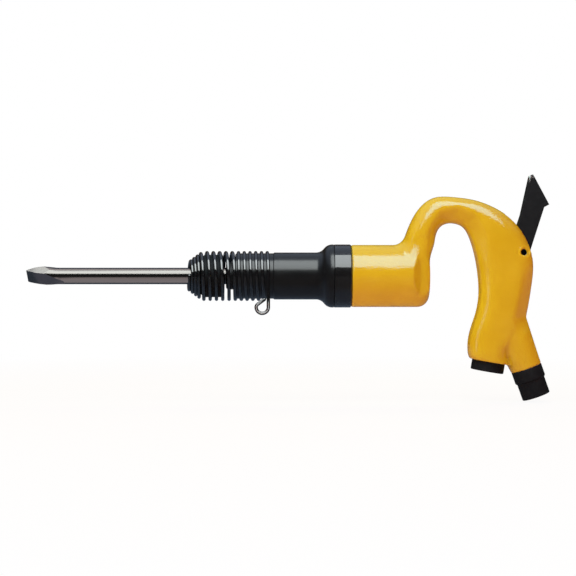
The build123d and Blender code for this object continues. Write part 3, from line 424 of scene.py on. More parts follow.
# %% Blackened wire
wire = 3.5
tail_top, tail_highlit = -24.0, -28.0
blackened_wire, tree, place = finish("blackened_drawn_wire")
along = add(tree, "ShaderNodeUVMap", uv_map="sheet").outputs["UV"]
stretched = {"Vector": along, "Scale": (1 / (14 * MM), 1 / (0.35 * MM), 1.0)}
stretched = add(tree, "ShaderNodeMapping", stretched).outputs["Vector"]
lines = {"Vector": stretched, "Scale": 1.0, "Detail": 2.0}
lines = add(tree, "ShaderNodeTexNoise", lines).outputs["Fac"]
black = add(tree, "ShaderNodeValToRGB", {"Fac": lines}, [(0.35, "#070708"), (0.7, "#0f0f11")])
# The light grey is the colour of a painted highlight on the tail.
highlight_grey = add(tree, "ShaderNodeValToRGB", {"Fac": lines}, [(0.35, "#9a9ca0"), (0.7, "#c4c6c9")])
height = add(tree, "ShaderNodeSeparateXYZ", {"Vector": place}).outputs["Z"]
ends = {"Value": height, "From Min": tail_top * MM, "From Max": tail_highlit * MM}
tail_share = add(tree, "ShaderNodeMapRange", ends).outputs["Result"]
# The way round the wire becomes an angle, and its cosine is 1 on the outer crest.
round_share = {0: add(tree, "ShaderNodeSeparateXYZ", {"Vector": along}).outputs["Y"],
               1: 2 / (wire * MM)}
round_share = add(tree, "ShaderNodeMath", round_share, operation="MULTIPLY").outputs["Value"]
outer = add(tree, "ShaderNodeMath", {0: round_share}, operation="COSINE").outputs["Value"]
# Painted highlight: light grey along the outer crest of the tail's drop and eye, which face the camera.
ends = {"Value": outer, "From Min": 0.955, "From Max": 0.99}
crest_highlight = add(tree, "ShaderNodeMapRange", ends).outputs["Result"]
painted_highlight = add(tree, "ShaderNodeMath", {0: tail_share, 1: crest_highlight}, operation="MULTIPLY").outputs["Value"]
colour = {"Factor": painted_highlight, "A": black.outputs["Color"], "B": highlight_grey.outputs["Color"]}
colour = add(tree, "ShaderNodeMix", colour, data_type="RGBA")
gloss = add(tree, "ShaderNodeMapRange", {"Value": lines, "To Min": 0.16, "To Max": 0.3})
drawn = add(tree, "ShaderNodeBump", {"Height": lines, "Distance": 0.006 * MM})
shader = add(tree, "ShaderNodeBsdfPrincipled", {
    "Base Color": colour.outputs["Result"], "Roughness": gloss.outputs["Result"],
    "Normal": drawn.outputs["Normal"], "Specular IOR Level": 0.2,
    "Coat Weight": 1.0, "Coat Roughness": 0.04, "Coat IOR": 2.2})
add(tree, "ShaderNodeOutputMaterial", {"Surface": shader.outputs["BSDF"]})
print("finish", blackened_wire.name)


# %% Wear on edges
def worn_edges(tree, radius, low, high):
    """Share of wear: how far the normal turns within a radius, so it is 0 on faces and 1 on edges."""
    soft = add(tree, "ShaderNodeBevel", {"Radius": radius * MM}, samples=6).outputs["Normal"]
    sharp = add(tree, "ShaderNodeNewGeometry").outputs["Normal"]
    match = add(tree, "ShaderNodeVectorMath", {0: soft, 1: sharp}, operation="DOT_PRODUCT")
    ends = {"Value": match.outputs["Value"],
            "From Min": high, "From Max": low, "To Min": 1.0, "To Max": 0.0}
    return add(tree, "ShaderNodeMapRange", ends).outputs["Result"]


knock_low, knock_high, knock_back, knock_front = 93.0, 97.0, 28.5, 27.0
print("the lever is knocked bare above", knock_low, "mm")

# %% Phosphated steel
phosphated_steel, tree, place = finish("phosphated_steel")
grain = {"Vector": place, "Scale": 1 / (0.7 * MM), "Detail": 3.0}
grain = add(tree, "ShaderNodeTexNoise", grain).outputs["Fac"]
cloud = {"Vector": place, "Scale": 1 / (7 * MM), "Detail": 3.0}
cloud = add(tree, "ShaderNodeTexNoise", cloud).outputs["Fac"]
knock = {"Vector": place, "Scale": 1 / (1.6 * MM), "Detail": 2.0}
knock = add(tree, "ShaderNodeTexNoise", knock).outputs["Fac"]
dark = add(tree, "ShaderNodeValToRGB", {"Fac": cloud}, [(0.3, "#17171a"), (0.7, "#1d1d20")])
wear = {0: worn_edges(tree, 0.7, 0.995, 0.93), 1: grain}
wear = add(tree, "ShaderNodeMath", wear, operation="MULTIPLY").outputs["Value"]
edge = {"Factor": wear, "A": dark.outputs["Color"], "B": linear("#6d6c6e")}
edge = add(tree, "ShaderNodeMix", edge, data_type="RGBA").outputs["Result"]
spot = add(tree, "ShaderNodeSeparateXYZ", {"Vector": place}).outputs
scuff = worn_edges(tree, 2.6, 0.998, 0.97)
for value, start, end in (
        (knock, 0.38, 0.48), (spot["Z"], knock_low * MM, knock_high * MM),
        (spot["X"], knock_back * MM, knock_front * MM)):
    ends = {"Value": value, "From Min": start, "From Max": end}
    scuff = {0: scuff, 1: add(tree, "ShaderNodeMapRange", ends).outputs["Result"]}
    scuff = add(tree, "ShaderNodeMath", scuff, operation="MULTIPLY").outputs["Value"]
colour = {"Factor": scuff, "A": edge, "B": linear("#d2dadc")}
colour = add(tree, "ShaderNodeMix", colour, data_type="RGBA")
gloss = add(tree, "ShaderNodeMapRange", {"Value": grain, "To Min": 0.42, "To Max": 0.62})
crystal = add(tree, "ShaderNodeBump", {"Height": grain, "Distance": 0.012 * MM})
shader = add(tree, "ShaderNodeBsdfPrincipled", {
    "Base Color": colour.outputs["Result"], "Roughness": gloss.outputs["Result"],
    "Normal": crystal.outputs["Normal"], "Specular IOR Level": 0.15})
add(tree, "ShaderNodeOutputMaterial", {"Surface": shader.outputs["BSDF"]})
print("finish", phosphated_steel.name)

# %% [markdown]
# ## Ground steel
# The chisel's bar and blade are ground bright, and its collar and shank keep the black scale of
# the forge. Two materials could share the piece. One material holds both, because it is one
# piece of steel: the place along the hammer decides which one shows. The grinding lines run
# along the bar. They change the tone and the roughness a little from line to line, and that
# draws faint streaks.

# %% Ground steel
collar_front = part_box("retainer_sleeve")[1][0] + 3.5 * MM
collar_blur = 0.4 * MM
ground_steel, tree, place = finish("ground_chisel_steel")
stretched = {"Vector": place, "Scale": (1 / (150 * MM), 1 / (0.8 * MM), 1 / (0.8 * MM))}
stretched = add(tree, "ShaderNodeMapping", stretched).outputs["Vector"]
streak = {"Vector": stretched, "Scale": 1.0, "Detail": 1.0}
streak = add(tree, "ShaderNodeTexNoise", streak).outputs["Fac"]
forge = {"Vector": place, "Scale": 1 / (3 * MM), "Detail": 4.0}
forge = add(tree, "ShaderNodeTexNoise", forge).outputs["Fac"]
bright = add(tree, "ShaderNodeValToRGB", {"Fac": streak}, [(0.3, "#75716e"), (0.7, "#827e7a")])
black = add(tree, "ShaderNodeValToRGB", {"Fac": forge}, [(0.3, "#141416"), (0.7, "#232225")])
ends = {"Value": add(tree, "ShaderNodeSeparateXYZ", {"Vector": place}).outputs["X"],
        "From Min": collar_front - collar_blur, "From Max": collar_front + collar_blur}
forged = add(tree, "ShaderNodeMapRange", ends).outputs["Result"]
ground = add(tree, "ShaderNodeMath", {0: 1.0, 1: forged}, operation="SUBTRACT")
colour = {"Factor": forged, "A": bright.outputs["Color"], "B": black.outputs["Color"]}
colour = add(tree, "ShaderNodeMix", colour, data_type="RGBA")
polish = add(tree, "ShaderNodeMapRange", {"Value": streak, "To Min": 0.1, "To Max": 0.2})
dull = add(tree, "ShaderNodeMapRange", {"Value": forge, "To Min": 0.3, "To Max": 0.5})
gloss = {"Factor": forged, "A": polish.outputs["Result"], "B": dull.outputs["Result"]}
gloss = add(tree, "ShaderNodeMix", gloss)
lines = add(tree, "ShaderNodeBump", {"Height": streak, "Distance": 0.003 * MM})
shader = add(tree, "ShaderNodeBsdfPrincipled", {
    "Base Color": colour.outputs["Result"], "Metallic": ground.outputs["Value"],
    "Roughness": gloss.outputs["Result"], "Normal": lines.outputs["Normal"]})
add(tree, "ShaderNodeOutputMaterial", {"Surface": shader.outputs["BSDF"]})
print("finish", ground_steel.name, "bright to", round(collar_front / MM, 1), "mm")

# %% [markdown]
# ## Inner metals and rubber
# The inner pieces show only when the hammer is opened, but they are finished too. Piston, bush
# and dowels are hardened and ground. The valve pieces are turned and lapped. Seat and strainer
# are brass, a little brown where oil stays. The rings are rubber with a talc bloom. The metals
# differ only in tone, polish and the spacing of the tool's rings, so one recipe makes them all.

# %% Inner finishes
def worked_metal(name, dark, light, smooth, rough, spacing):
    """Bare metal with clouds of tone and rings of the tool at a spacing in millimetres."""
    material, tree, place = finish(name)
    cloud = {"Vector": place, "Scale": 1 / (5 * MM), "Detail": 4.0}
    cloud = add(tree, "ShaderNodeTexNoise", cloud).outputs["Fac"]
    colour = add(tree, "ShaderNodeValToRGB", {"Fac": cloud}, [(0.3, dark), (0.7, light)])
    gloss = add(tree, "ShaderNodeMapRange", {"Value": cloud, "To Min": smooth, "To Max": rough})
    rings = {"Vector": place, "Scale": one_wave / (spacing * MM), "Distortion": 0.5}
    rings = add(tree, "ShaderNodeTexWave", rings, bands_direction="X").outputs["Fac"]
    tool = add(tree, "ShaderNodeBump", {"Height": rings, "Distance": 0.004 * MM})
    shader = add(tree, "ShaderNodeBsdfPrincipled", {
        "Base Color": colour.outputs["Color"], "Metallic": 1.0,
        "Roughness": gloss.outputs["Result"], "Normal": tool.outputs["Normal"]})
    add(tree, "ShaderNodeOutputMaterial", {"Surface": shader.outputs["BSDF"]})
    print("finish", name)
    return material


hardened_steel = worked_metal("hardened_ground_steel", "#8f9194", "#a8aaac", 0.14, 0.24, 0.6)
valve_steel = worked_metal("lapped_valve_steel", "#7d7f84", "#95979b", 0.2, 0.32, 0.8)
pin_steel = worked_metal("blued_pin_steel", "#1a1b20", "#2b2b31", 0.22, 0.34, 0.5)
spring_steel = worked_metal("oiled_spring_steel", "#5f6064", "#77787c", 0.22, 0.34, 1.0)
turned_brass = worked_metal("turned_brass", "#a8803a", "#c39a4c", 0.22, 0.36, 0.7)

# %% Seal rubber
seal_rubber, tree, place = finish("moulded_seal_rubber")
bloom = {"Vector": place, "Scale": 1 / (2.5 * MM), "Detail": 4.0}
bloom = add(tree, "ShaderNodeTexNoise", bloom).outputs["Fac"]
colour = add(tree, "ShaderNodeValToRGB", {"Fac": bloom}, [(0.35, "#1a1a1a"), (0.75, "#333231")])
gloss = add(tree, "ShaderNodeMapRange", {"Value": bloom, "To Min": 0.5, "To Max": 0.75})
shader = add(tree, "ShaderNodeBsdfPrincipled", {
    "Base Color": colour.outputs["Color"], "Roughness": gloss.outputs["Result"],
    "Specular IOR Level": 0.4})
add(tree, "ShaderNodeOutputMaterial", {"Surface": shader.outputs["BSDF"]})
print("finish", seal_rubber.name)

# %% [markdown]
# ## The handle casting
# The solid handle has creases where its forms meet: at the foot of the neck, and in the valley
# between the grip and the inlet leg. A casting has none, because sand and paint round them.
# A sculptor would brush them soft. Here a merged copy of the solid is rebuilt as an even net of
# small squares, and the next steps relax it.

# %% Net of the handle
net_size = 1.05
merged = nodes["handle"].data.copy()
tidy = bmesh.new()
tidy.from_mesh(merged)
bmesh.ops.remove_doubles(tidy, verts=tidy.verts, dist=0.005 * MM)
tidy.to_mesh(merged)
tidy.free()
mould = bpy.data.objects.new("mould", merged)
bpy.context.scene.collection.objects.link(mould)
net = mould.modifiers.new("net", "REMESH")
net.mode = "VOXEL"
net.voxel_size = net_size * MM
casting = bpy.data.meshes.new_from_object(
    mould.evaluated_get(bpy.context.evaluated_depsgraph_get()))
bpy.data.objects.remove(mould)
points = np.empty(len(casting.vertices) * 3, dtype=np.float32)
casting.vertices.foreach_get("co", points)
points = points.reshape(-1, 3).astype(float) / MM
edges = np.empty(len(casting.edges) * 2, dtype=np.int32)
casting.edges.foreach_get("vertices", edges)
edges = edges.reshape(-1, 2)
print("net of", len(points), "points")

# %% [markdown]
# To relax the net, each point moves towards the middle of its neighbours. Blender has a modifier
# for that, but it would shrink the casting. So the points then move back a little, which rounds
# the edges and keeps the size. Where the barrel and the coupling seat, hardly a point moves.

# %% Relax the net
def relax(points, edges, weight, steps):
    """Move each point a share of the way to the mean of its neighbours, once for each step."""
    count = np.bincount(edges.ravel(), minlength=len(points))[:, None]
    for step in steps:
        total = np.stack([
            np.bincount(edges[:, 0], points[edges[:, 1], axis], len(points))
            + np.bincount(edges[:, 1], points[edges[:, 0], axis], len(points))
            for axis in range(3)], axis=1)
        points = points + step * weight[:, None] * (total / count - points)
    return points


fill, fill_and_swell = [0.5], [0.5, -0.52]
cup_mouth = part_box("handle")[0][0] / MM
inlet_axis = np.array(mounts["air_inlet"]["axis"])
coupling_reach = 30.0
leg_end = np.array(mounts["air_inlet"]["pos_m"]) / MM - coupling_reach * inlet_axis
seat_width, cup_share, leg_share = 3.0, 0.05, 0.1
leg_depth = np.abs((points - leg_end) @ inlet_axis)
firm = np.clip((points[:, 0] - cup_mouth) / seat_width, cup_share, 1)
firm = np.minimum(firm, np.clip(leg_depth / seat_width, leg_share, 1))
points = relax(points, edges, firm, fill_and_swell * 16)
print("firm points", int((firm < 1).sum()))

# %% [markdown]
# The sides are drawn in a little along the inside of the bow, at the waist of the neck and at the
# heel of the hand, where the shading of the photograph turns away sooner than the solid's. In the
# hollows and along the edges of the wrench flats the relaxed points don't move back, so these
# places fill up like a fillet. A sculptor would paint a mask for each place. Here a mask is the
# distance to a line in the casting, or to the same line on its other side.

# %% Masks along lines
def near_line(points, start, end, inside, outside):
    """1 within a distance of a line between two places, falling smoothly to 0 at another, both sides."""
    start, end = np.array(start, float), np.array(end, float)
    folded = np.stack([points[:, 0], np.abs(points[:, 1]), points[:, 2]], axis=1)
    share = np.clip((folded - start) @ (end - start) / np.sum((end - start) ** 2), 0, 1)
    gap = np.linalg.norm(folded - start - share[:, None] * (end - start), axis=1)
    slope = np.clip((outside - gap) / (outside - inside), 0, 1)
    return slope * slope * (3 - 2 * slope)


def near_path(points, places, inside, outside):
    """The largest share near any stretch of a path through some places."""
    stretches = zip(places[:-1], places[1:])
    return np.max([near_line(points, *ends, inside, outside) for ends in stretches], axis=0)


valley = np.maximum(
    near_line(points, (19, 10, -37), (13, 15, -52), 3, 8),
    near_line(points, (13, 15, -52), (3, 16, -80), 2, 6))
foot = np.maximum(
    near_path(points, [(-105, 6, 35), (-95, 17, 30), (-80, 23, 23)], 3, 9),
    near_line(points, (-75, 0, 22), (-75, 16, 21), 5, 13))
print("points in the valley", int((valley > 0).sum()), "and at the foot", int((foot > 0).sum()))

# %% Draw in the sides
waist_draw, notch_fill = 0.08, 0.9
side_view = points * [1, 0, 1]
inner_line = [
    (-69, 0, 40), (-60, 0, 56), (-48, 0, 59.5), (-38, 0, 53), (-29, 0, 35),
    (-26.5, 0, 18), (-26, 0, -10), (-28, 0, -36), (-33, 0, -58)]
waist = waist_draw * near_line(points, (-86, 17, 34), (-78, 17, 32), 0, 12)
bow = near_path(side_view, inner_line, 0, 12)
bow *= np.interp(points[:, 2], [-60, -40, 15, 45], [0, 0.08, 0.08, 0.2])
heel = np.maximum(
    near_line(side_view, (28, 0, 14), (25, 0, -22), 0, 15),
    near_line(side_view, (25, 0, -22), (20, 0, -42), 0, 16))
heel *= np.interp(points[:, 2], [-15, 18], [0.36, 0])
points[:, 1] *= 1 - waist - bow - heel
points[:, 0] += notch_fill * near_line(points, (-75.5, 0, 18), (-75.5, 16, 17), 0, 8)
print("drawn in by at most", round(float((waist + bow + heel).max()), 2))

# %% Fill the hollows
points = relax(points, edges, np.maximum(valley, foot) * firm, fill * 90)
flat_edge = [(-86, 25, -19), (-78.5, 25, -9), (-78.5, 25, 9), (-86, 25, 19)]
points = relax(points, edges, near_path(points, flat_edge, 2, 5), fill * 60)
points = relax(points, edges, firm, fill_and_swell * 4)
casting.vertices.foreach_set("co", (points * MM).astype(np.float32).ravel())
casting.shade_smooth()
handle_casting = bpy.data.objects.new("handle_casting", casting)
bpy.context.scene.collection.objects.link(handle_casting)
settle(handle_casting, "hammer_body", "handle_yellow", yellow_enamel, "handle")

# %% [markdown]
# ## Paint round the pin
# The lever's pin sits in a hole through both cheeks of the grip. The hole is countersunk a
# little, and the enamel runs over its edge, so the far side of the rim catches the light as a
# thin crescent. The hole could be cut into the net, but the net is too coarse for so small a
# form. The rim is an outline of a few points carried round the hole, and its height at each
# place is read from the casting and smoothed to a few slow waves.

# %% Rims round the pin
pin_box = np.array(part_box("lever_pin")) / MM
pin_place = pin_box.mean(axis=0)[[0, 2]]
pin_radius = (pin_box[1, 0] - pin_box[0, 0]) / 2
rim = np.array([
    (0.0, -2.2), (0.0, -0.65), (1.2, 0.08), (1.4, 0.14),
    (1.7, 0.14), (2.3, 0.1), (3.0, 0.02), (4.2, -0.3)])
cheek_depth, level_gap, outer_pull, slow_waves = 12.0, 2.5, 0.2, 4
swing = np.linspace(0, 2 * math.pi, 72, endpoint=False)
circle = np.stack([np.cos(swing), np.sin(swing)], axis=1)
rims = []
for side, name in ((-1, "near_rim"), (1, "far_rim")):
    cheek = points[points[:, 1] * side > cheek_depth]
    ring = pin_place + (pin_radius + level_gap) * circle
    apart = np.linalg.norm(cheek[None, :, [0, 2]] - ring[:, None], axis=2)
    nearest = np.argmin(apart - outer_pull * side * cheek[None, :, 1], axis=1)
    wave = np.fft.rfft(cheek[nearest, 1])
    wave[slow_waves:] = 0
    level = np.fft.irfft(wave, len(swing))
    plan = pin_place + (pin_radius + rim[:, 0])[:, None, None] * circle
    dish = np.insert(plan, 1, level + side * rim[:, 1:], axis=-1)
    rims.append(skin(name, dish))
    settle(rims[-1], "hammer_body", "handle_yellow", yellow_enamel)

# %% [markdown]
# ## The chisel
# A smith spread the end of a round bar to a blade, which swells more on its upper side. Both
# faces were then ground to a wedge that runs out along the bar, and the edge was honed. The blade
# could be cut from the bar with booleans. Here the outline at each place along the bar is a
# circle cut by two pairs of flats, the faces and the narrow sides, because their distances from
# the axis can then swell and taper as softly as forged steel does.

# %% Flats and rounds along the bar
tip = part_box("chisel")[0][0] / MM
bar_radius, bar_length, blade_lean = 8.25, 199.0, math.radians(40)
run = np.concatenate(
    [np.linspace(0, 2, 9), np.linspace(2.25, 48, 150), np.linspace(50, bar_length, 50)])
window = np.linspace(-2.5, 2.5, 11)
honed = 5.0


def drawn_out(places, values):
    """Values along the bar: straight between the given places, averaged over five millimetres."""
    return np.interp(run[:, None] + window, places, values).mean(axis=1)


wedge = (
    [0, 2.0, 8.5, 13.5, 17.5, 19.5, 28.5, 38.5, 48],
    [0.08, 1.1, 3.3, 4.3, 4.6, 4.9, 6.9, 8.3, 10.5])
half = np.where(run < honed, np.interp(run, *wedge), drawn_out(*wedge))
sides = np.stack([
    drawn_out([-3, 0, 8.5, 30], [8.4, 8.6, 9.3, 9.3]),
    drawn_out([-3, 0, 8.5, 18, 26, 30], [8.9, 8.6, 7.8, 7.8, 8.3, 9.3])])
rounds = np.stack([
    drawn_out([17, 24, 30], [10.5, 9.0, bar_radius]),
    drawn_out([18, 24, 30], [9.3, 8.7, bar_radius])])
print("blade", round(2 * sides[:, 0].mean(), 1), "mm wide at its edge")

# %% [markdown]
# The bar ends in a round collar, so its rows are added with flats too far out to cut. The corners
# between flats and rounds are worked out first, and the points are shared out from corner to
# corner, so that every edge of the blade lies on a line of the grid and stays crisp.

# %% Chisel bar
uncut = 30.0
collar_steps, collar_rounds = np.array([0, 1.5, 9, 9]), [12.0, 13.5, 13.5, 0.0]
crease = math.radians(16)
run = np.concatenate([[0], run, bar_length + collar_steps])
half = np.concatenate([half[:1], half, np.full(len(collar_steps), uncut)])
sides = np.pad(sides, ((0, 0), (1, len(collar_steps))), constant_values=uncut)
rounds = np.concatenate([np.zeros((2, 1)), rounds, [collar_rounds] * 2], axis=1)
steepest = math.sin(math.radians(70))
lowest = np.arcsin(np.minimum(half / np.maximum(rounds, 0.1), steepest))
bend = np.maximum(np.arctan2(half, sides), lowest)
bounds = np.stack(
    [-bend[0], bend[0], math.pi - bend[1], math.pi + bend[1], 2 * math.pi - bend[0]], axis=1)
sector_points = (40, 30, 40, 30)
share = np.concatenate([
    number + np.linspace(0, 1, count, endpoint=False)
    for number, count in enumerate(sector_points)])
sector = share.astype(int)
angle = bounds[:, sector] + (share - sector) * (bounds[:, sector + 1] - bounds[:, sector])
side = np.where(np.cos(angle) > 0, 0, 1)
row = np.arange(len(run))[:, None]
reach = np.minimum(rounds[side, row], sides[side, row] / np.maximum(np.abs(np.cos(angle)), 1e-6))
reach = np.minimum(reach, half[:, None] / np.maximum(np.abs(np.sin(angle)), 1e-6))
edge_way = np.array([0, -math.cos(blade_lean), math.sin(blade_lean)])
face_way = np.array([0, math.sin(blade_lean), math.cos(blade_lean)])
chisel_points = (tip + run)[:, None, None] * np.array([1, 0, 0]) + reach[:, :, None] * (
    np.cos(angle)[:, :, None] * edge_way + np.sin(angle)[:, :, None] * face_way)
chisel_bar = skin("chisel_bar", chisel_points)
chisel_bar.data.set_sharp_from_angle(angle=crease)
settle(chisel_bar, "chisel_body", "ground_steel", ground_steel, "chisel")

# %% [markdown]
# The hexagon shank sits in the bush. Blender has a cylinder with six sides, but one more outline
# round the axis keeps it in line with the bar: the distance from the axis is the half width
# over the cosine of the angle from the middle of each flat.

# %% Chisel shank
shank_half, shank_length, shank_chamfer = 7.35, 58.0, 1.0
shank_start = tip + bar_length + collar_steps[-1]
swing = np.linspace(0, 2 * math.pi, 36, endpoint=False)
hexagon = shank_half / np.cos(swing % (math.pi / 3) - math.pi / 6)
shank_x = shank_start + np.array([0, 0, shank_length - shank_chamfer, shank_length, shank_length])
size = np.array([0, 1, 1, 1 - shank_chamfer / shank_half, 0])[:, None] * hexagon
shank_points = np.stack(np.broadcast_arrays(
    shank_x[:, None], size * np.cos(swing), size * np.sin(swing)), axis=-1)
chisel_shank = skin("chisel_shank", shank_points)
chisel_shank.data.set_sharp_from_angle(angle=crease)
settle(chisel_shank, "chisel_body", "ground_steel", ground_steel)

# %% [markdown]
# ## Wound wire
# Both springs are one round wire carried along a path. Blender could bevel a curve, but then the
# drawing lines of the wire could not follow it. Here the path is a formula of the turn, a circle
# is set square to it at every step, and a UV map keeps the length along the wire, which the
# finish reads. The ends are rounded off like the end of a cut and tumbled wire.

# %% Wire along a path
def wire_skin(name, path, outward, radius, sides=18):
    """Tube round a path: at each step a circle spanned by the outward way and its square to the
    path; at both ends the circle shrinks along a quarter round."""
    heading = np.gradient(path, axis=0)
    heading /= np.linalg.norm(heading, axis=1)[:, None]
    turn = np.linspace(0, math.pi / 2, 6)[1:, None]
    front = path[:1] - heading[:1] * radius * np.sin(turn[::-1])
    rear = path[-1:] + heading[-1:] * radius * np.sin(turn)
    girth = [np.cos(turn[::-1, 0]), np.ones(len(path)), np.cos(turn[:, 0])]
    girth = np.concatenate(girth) * radius
    ends = ((len(turn), len(turn)), (0, 0))
    heading = np.pad(heading, ends, mode="edge")
    beside = np.cross(heading, np.pad(outward, ends, mode="edge"))
    beside /= np.linalg.norm(beside, axis=1)[:, None]
    square = np.cross(beside, heading)
    path = np.concatenate([front, path, rear])
    angle = np.linspace(0, 2 * math.pi, sides, endpoint=False)[:, None]
    circle = np.cos(angle) * square[:, None] + np.sin(angle) * beside[:, None]
    length = np.concatenate([[0], np.cumsum(np.linalg.norm(np.diff(path, axis=0), axis=1))])
    step = 2 * math.pi * radius / sides
    return skin(name, path[:, None] + girth[:, None, None] * circle, along=length, around=step)


print("wire of", wire, "mm")

# %% [markdown]
# The retainer spring starts with a cone of close turns round the chisel, goes on with free turns
# over the sleeve, which lean a little back on the near side, and is screwed onto the grooved
# nose of the barrel. A screw modifier gives turns of one pitch and one radius only. Here the
# place along the axis and the radius are both read off against the turn.

# %% Turns of the retainer spring
cone_turns, free_turns, groove_turns = 3.75, 6.0, 5.25
cone_pitch, free_pitch, groove_pitch, groove_lead = 3.3, 6.297, 5.74, 3.0
cone_start, cone_end, coil_radius = 13.1, 22.25, 23.25
coil_lean, end_turn, turn_steps = 2.0, 0.25, 72
groove_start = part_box("tool_bush")[0][0] / MM + groove_lead
free_end, last_turn = cone_turns + free_turns, cone_turns + free_turns + groove_turns
groove_end = groove_start + groove_turns * groove_pitch
cone_back = groove_start - free_turns * free_pitch
turn = np.linspace(0, last_turn, int(last_turn * turn_steps))
angle = 2 * math.pi * (turn - cone_turns)
coil_x = np.interp(
    turn, [0, cone_turns, free_end, last_turn],
    [cone_back - cone_turns * cone_pitch, cone_back, groove_start, groove_end])
coil_x += coil_lean * np.clip(free_end - turn, 0, 1) * np.sin(angle)
ending = np.clip((turn - last_turn + end_turn) / end_turn, 0, 1)
coil_x += end_turn * groove_pitch * (ending ** 2 - ending ** 3)
coil_r = np.interp(
    turn, [0, cone_turns, cone_turns + end_turn, last_turn],
    [cone_start, cone_end, coil_radius, coil_radius])
coil_out = np.stack([np.zeros_like(turn), -np.sin(angle), np.cos(angle)], axis=1)
coil = coil_r[:, None] * coil_out + coil_x[:, None] * [1, 0, 0]
print("spring of", last_turn, "turns")

# %% [markdown]
# The end of the spring drops beside the barrel and is bent to an eye, so that it can be turned
# off by hand. Straight stretches and arcs that meet without a kink are how such a wire is bent
# round pegs, so they also make the path.

# %% Tail of the retainer spring
tail_drop, eye_radius, hook_radius, hook_turn, tail_end = 31.0, 6.0, 3.6, 54.0, 8.0


def arc(centre, radius, start, end, count):
    """Points of an arc in the side view between two angles in degrees, without its first."""
    sweep = np.radians(np.linspace(start, end, count + 1)[1:, None])
    return centre + radius * np.concatenate([np.cos(sweep), 0 * sweep, np.sin(sweep)], axis=1)


drop = coil[-1] - np.linspace(0, tail_drop, 40)[1:, None] * [0, 0, 1]
eye = arc(drop[-1] - [eye_radius, 0, 0], eye_radius, 0, -180, 30)
hook_place = drop[-1] - [2 * eye_radius - hook_radius, 0, 0]
hook = arc(hook_place, hook_radius, 180, 180 - hook_turn, 8)
last_angle = math.radians(180 - hook_turn)
end_way = np.array([math.sin(last_angle), 0, -math.cos(last_angle)])
end = hook[-1] + np.linspace(0, tail_end, 10)[1:, None] * end_way
path = np.concatenate([coil, drop, eye, hook, end])
tail_out = np.broadcast_to([0.0, -1.0, 0.0], (len(path) - len(coil), 3))
retainer_wire = wire_skin("retainer_wire", path, np.concatenate([coil_out, tail_out]), wire / 2)
settle(retainer_wire, "hammer_body", "blackened_wire", blackened_wire, "retainer_spring")

# %% [markdown]
# The throttle spring closes the valve in the grip. A stiff spring would do at rest, but the valve
# would cut through it when the lever is pressed. Its skin is wound round the throttle's axis and
# rides on the hammer body.

# %% Throttle spring
joints = {joint["name"]: joint for joint in frame["record"]["behaviour"]["joints"]}
throttle_joint = joints["throttle_slide"]
throttle_way = -np.array(throttle_joint["axis"])
spring_middle = np.array(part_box("throttle_spring")).mean(axis=0) / MM
throttle_radius, throttle_wire, throttle_turns, throttle_length = 6.4, 1.6, 6.0, 34.7
turn = np.linspace(0, throttle_turns, int(throttle_turns * 48))
angle = 2 * math.pi * turn[:, None]
spoke = np.array([throttle_way[2], 0, -throttle_way[0]])
throttle_out = np.cos(angle) * spoke + np.sin(angle) * [0, -1, 0]
rise = (turn / throttle_turns - 0.5) * throttle_length
path = spring_middle + rise[:, None] * throttle_way + throttle_radius * throttle_out
throttle_wire_skin = wire_skin("throttle_wire", path, throttle_out, throttle_wire / 2, sides=12)
settle(throttle_wire_skin, "hammer_body", "spring_steel", spring_steel, "throttle_spring")
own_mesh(throttle_wire_skin)

# %% [markdown]
# ## Inlet coupling
# The coupling is turned from bar, with a collar that seats on the leg, and its mouth is cut with
# a pipe thread. A lathe breaks every edge a little. Bevels and a screw modifier could make all
# that from a few solids. Here the outline is a list of corners, each replaced by a small curve,
# and it is carried round the axis. In the mouth the radius swells and falls with the place
# along the axis plus the share of the turn, and that is a thread.

# %% Outline of the inlet coupling
def rounded(corners, reach, steps=6):
    """Outline whose corners become curves that start and end a reach before and after each corner."""
    corners, reach = np.array(corners, float), np.array(reach, float)[:, None]
    back = np.roll(corners, 1, axis=0) - corners
    ahead = np.roll(corners, -1, axis=0) - corners
    start = corners + back / np.linalg.norm(back, axis=1)[:, None] * reach
    end = corners + ahead / np.linalg.norm(ahead, axis=1)[:, None] * reach
    t = np.linspace(0, 1, steps)[None, :, None]
    curve = (1 - t) ** 2 * start[:, None] + 2 * t * (1 - t) * corners[:, None] + t ** 2 * end[:, None]
    return curve.reshape(-1, 2)


thread_radius, thread_depth, thread_pitch, thread_height = 7.5, 16.0, 1.34, 0.8
outline = [
    (5.5, 14.0), (5.5, -14.0), (9.58, -14.0), (9.58, -6.02), (7.56, -6.02), (7.56, -3.98),
    (9.58, -3.98), (9.58, 0.0), (15.5, 0.0), (15.5, 12.0), (14.1, 13.4), (14.1, coupling_reach),
    (thread_radius + 1, coupling_reach)]
breaks = [0.2, 0.2, 0.4, 0.2, 0.2, 0.2, 0.2, 0.2, 0.5, 0.6, 0.4, 1.1, 0.4]
thread_foot = coupling_reach - thread_depth
thread_place = np.linspace(coupling_reach - 0.9, thread_foot + 0.3, 110)
bore = np.stack([np.full_like(thread_place, thread_radius), thread_place], axis=1)
profile = np.concatenate([rounded(outline, breaks), bore, [[thread_radius, thread_foot]]])
print("outline of", len(profile), "points")

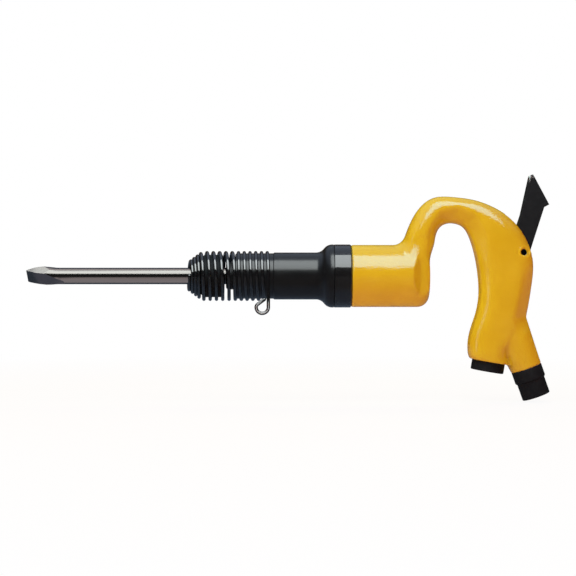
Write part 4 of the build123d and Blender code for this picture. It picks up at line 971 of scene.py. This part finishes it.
# %% Turn and thread the inlet coupling
swing = np.linspace(0, 2 * math.pi, 96, endpoint=False)
phase = profile[:, 1:] / thread_pitch + swing / (2 * math.pi)
groove = 1 - np.abs(2 * (phase % 1) - 1)
inside = (profile[:, 0] == thread_radius) & (profile[:, 1] > thread_foot + 1)
radius = profile[:, :1] + np.where(inside[:, None], thread_height * groove, 0.0)
upright = np.array([0.0, 1.0, 0.0])
across = np.cross(inlet_axis, upright)
coupling_points = leg_end + profile[:, 1, None, None] * inlet_axis + radius[:, :, None] * (
    np.cos(swing)[:, None] * upright + np.sin(swing)[:, None] * across)
coupling = skin("threaded_coupling", coupling_points, close_rows=True)
settle(coupling, "hammer_body", "plug_black", phosphated_steel, "inlet_coupling")

# %% [markdown]
# ## Everything else keeps its solid
# The turned and milled pieces already have their true shape, with true normals. They could be
# made again as surfaces, but nothing would be gained, so they keep it and take their finish.

# %% Dress the solids
dress = {
    "barrel": blackened_steel, "retainer_sleeve": phosphated_steel,
    "exhaust_deflector": black_lacquer, "throttle_lever": phosphated_steel,
    "throttle_plug": phosphated_steel, "lever_pin": pin_steel, "tool_bush": hardened_steel,
    "piston": hardened_steel, "valve_dowels": hardened_steel, "valve_box": valve_steel,
    "valve_cover": valve_steel, "valve_spool": valve_steel, "throttle_valve": valve_steel,
    "throttle_seat": turned_brass, "inlet_strainer": turned_brass,
    "barrel_seal": seal_rubber, "stem_seal": seal_rubber, "plug_seal": seal_rubber,
    "inlet_seal": seal_rubber,
}
for name, material in dress.items():
    nodes[name].data.materials.clear()
    nodes[name].data.materials.append(material)
print("dressed", len(dress), "solids")

# %% [markdown]
# ## Lamps for some pieces
# A lamp lights everything unless it is told otherwise. Flags of card could shade the other
# pieces from it. Blender's light linking is simpler: it gives a lamp a list of the pieces that
# it lights. The small boxes and cards are for the chisel, the box over the blade is for the
# wire and the rims too, and the strip at the left draws the thin line of light along the grip.

# %% Link the lamps
def light_only(lamps, pieces):
    """Let lamps light some pieces and nothing else."""
    lit = bpy.data.collections.new("lit_by_" + lamps[0].name)
    for piece in pieces:
        lit.objects.link(piece)
    for lamp in lamps:
        lamp.light_linking.receiver_collection = lit
    print(lit.name, len(pieces), "pieces")


light_only(chisel_lamps, [chisel_bar])
light_only([blade_box], [chisel_bar, retainer_wire, *rims])
light_only([left_strip], [handle_casting, *rims])
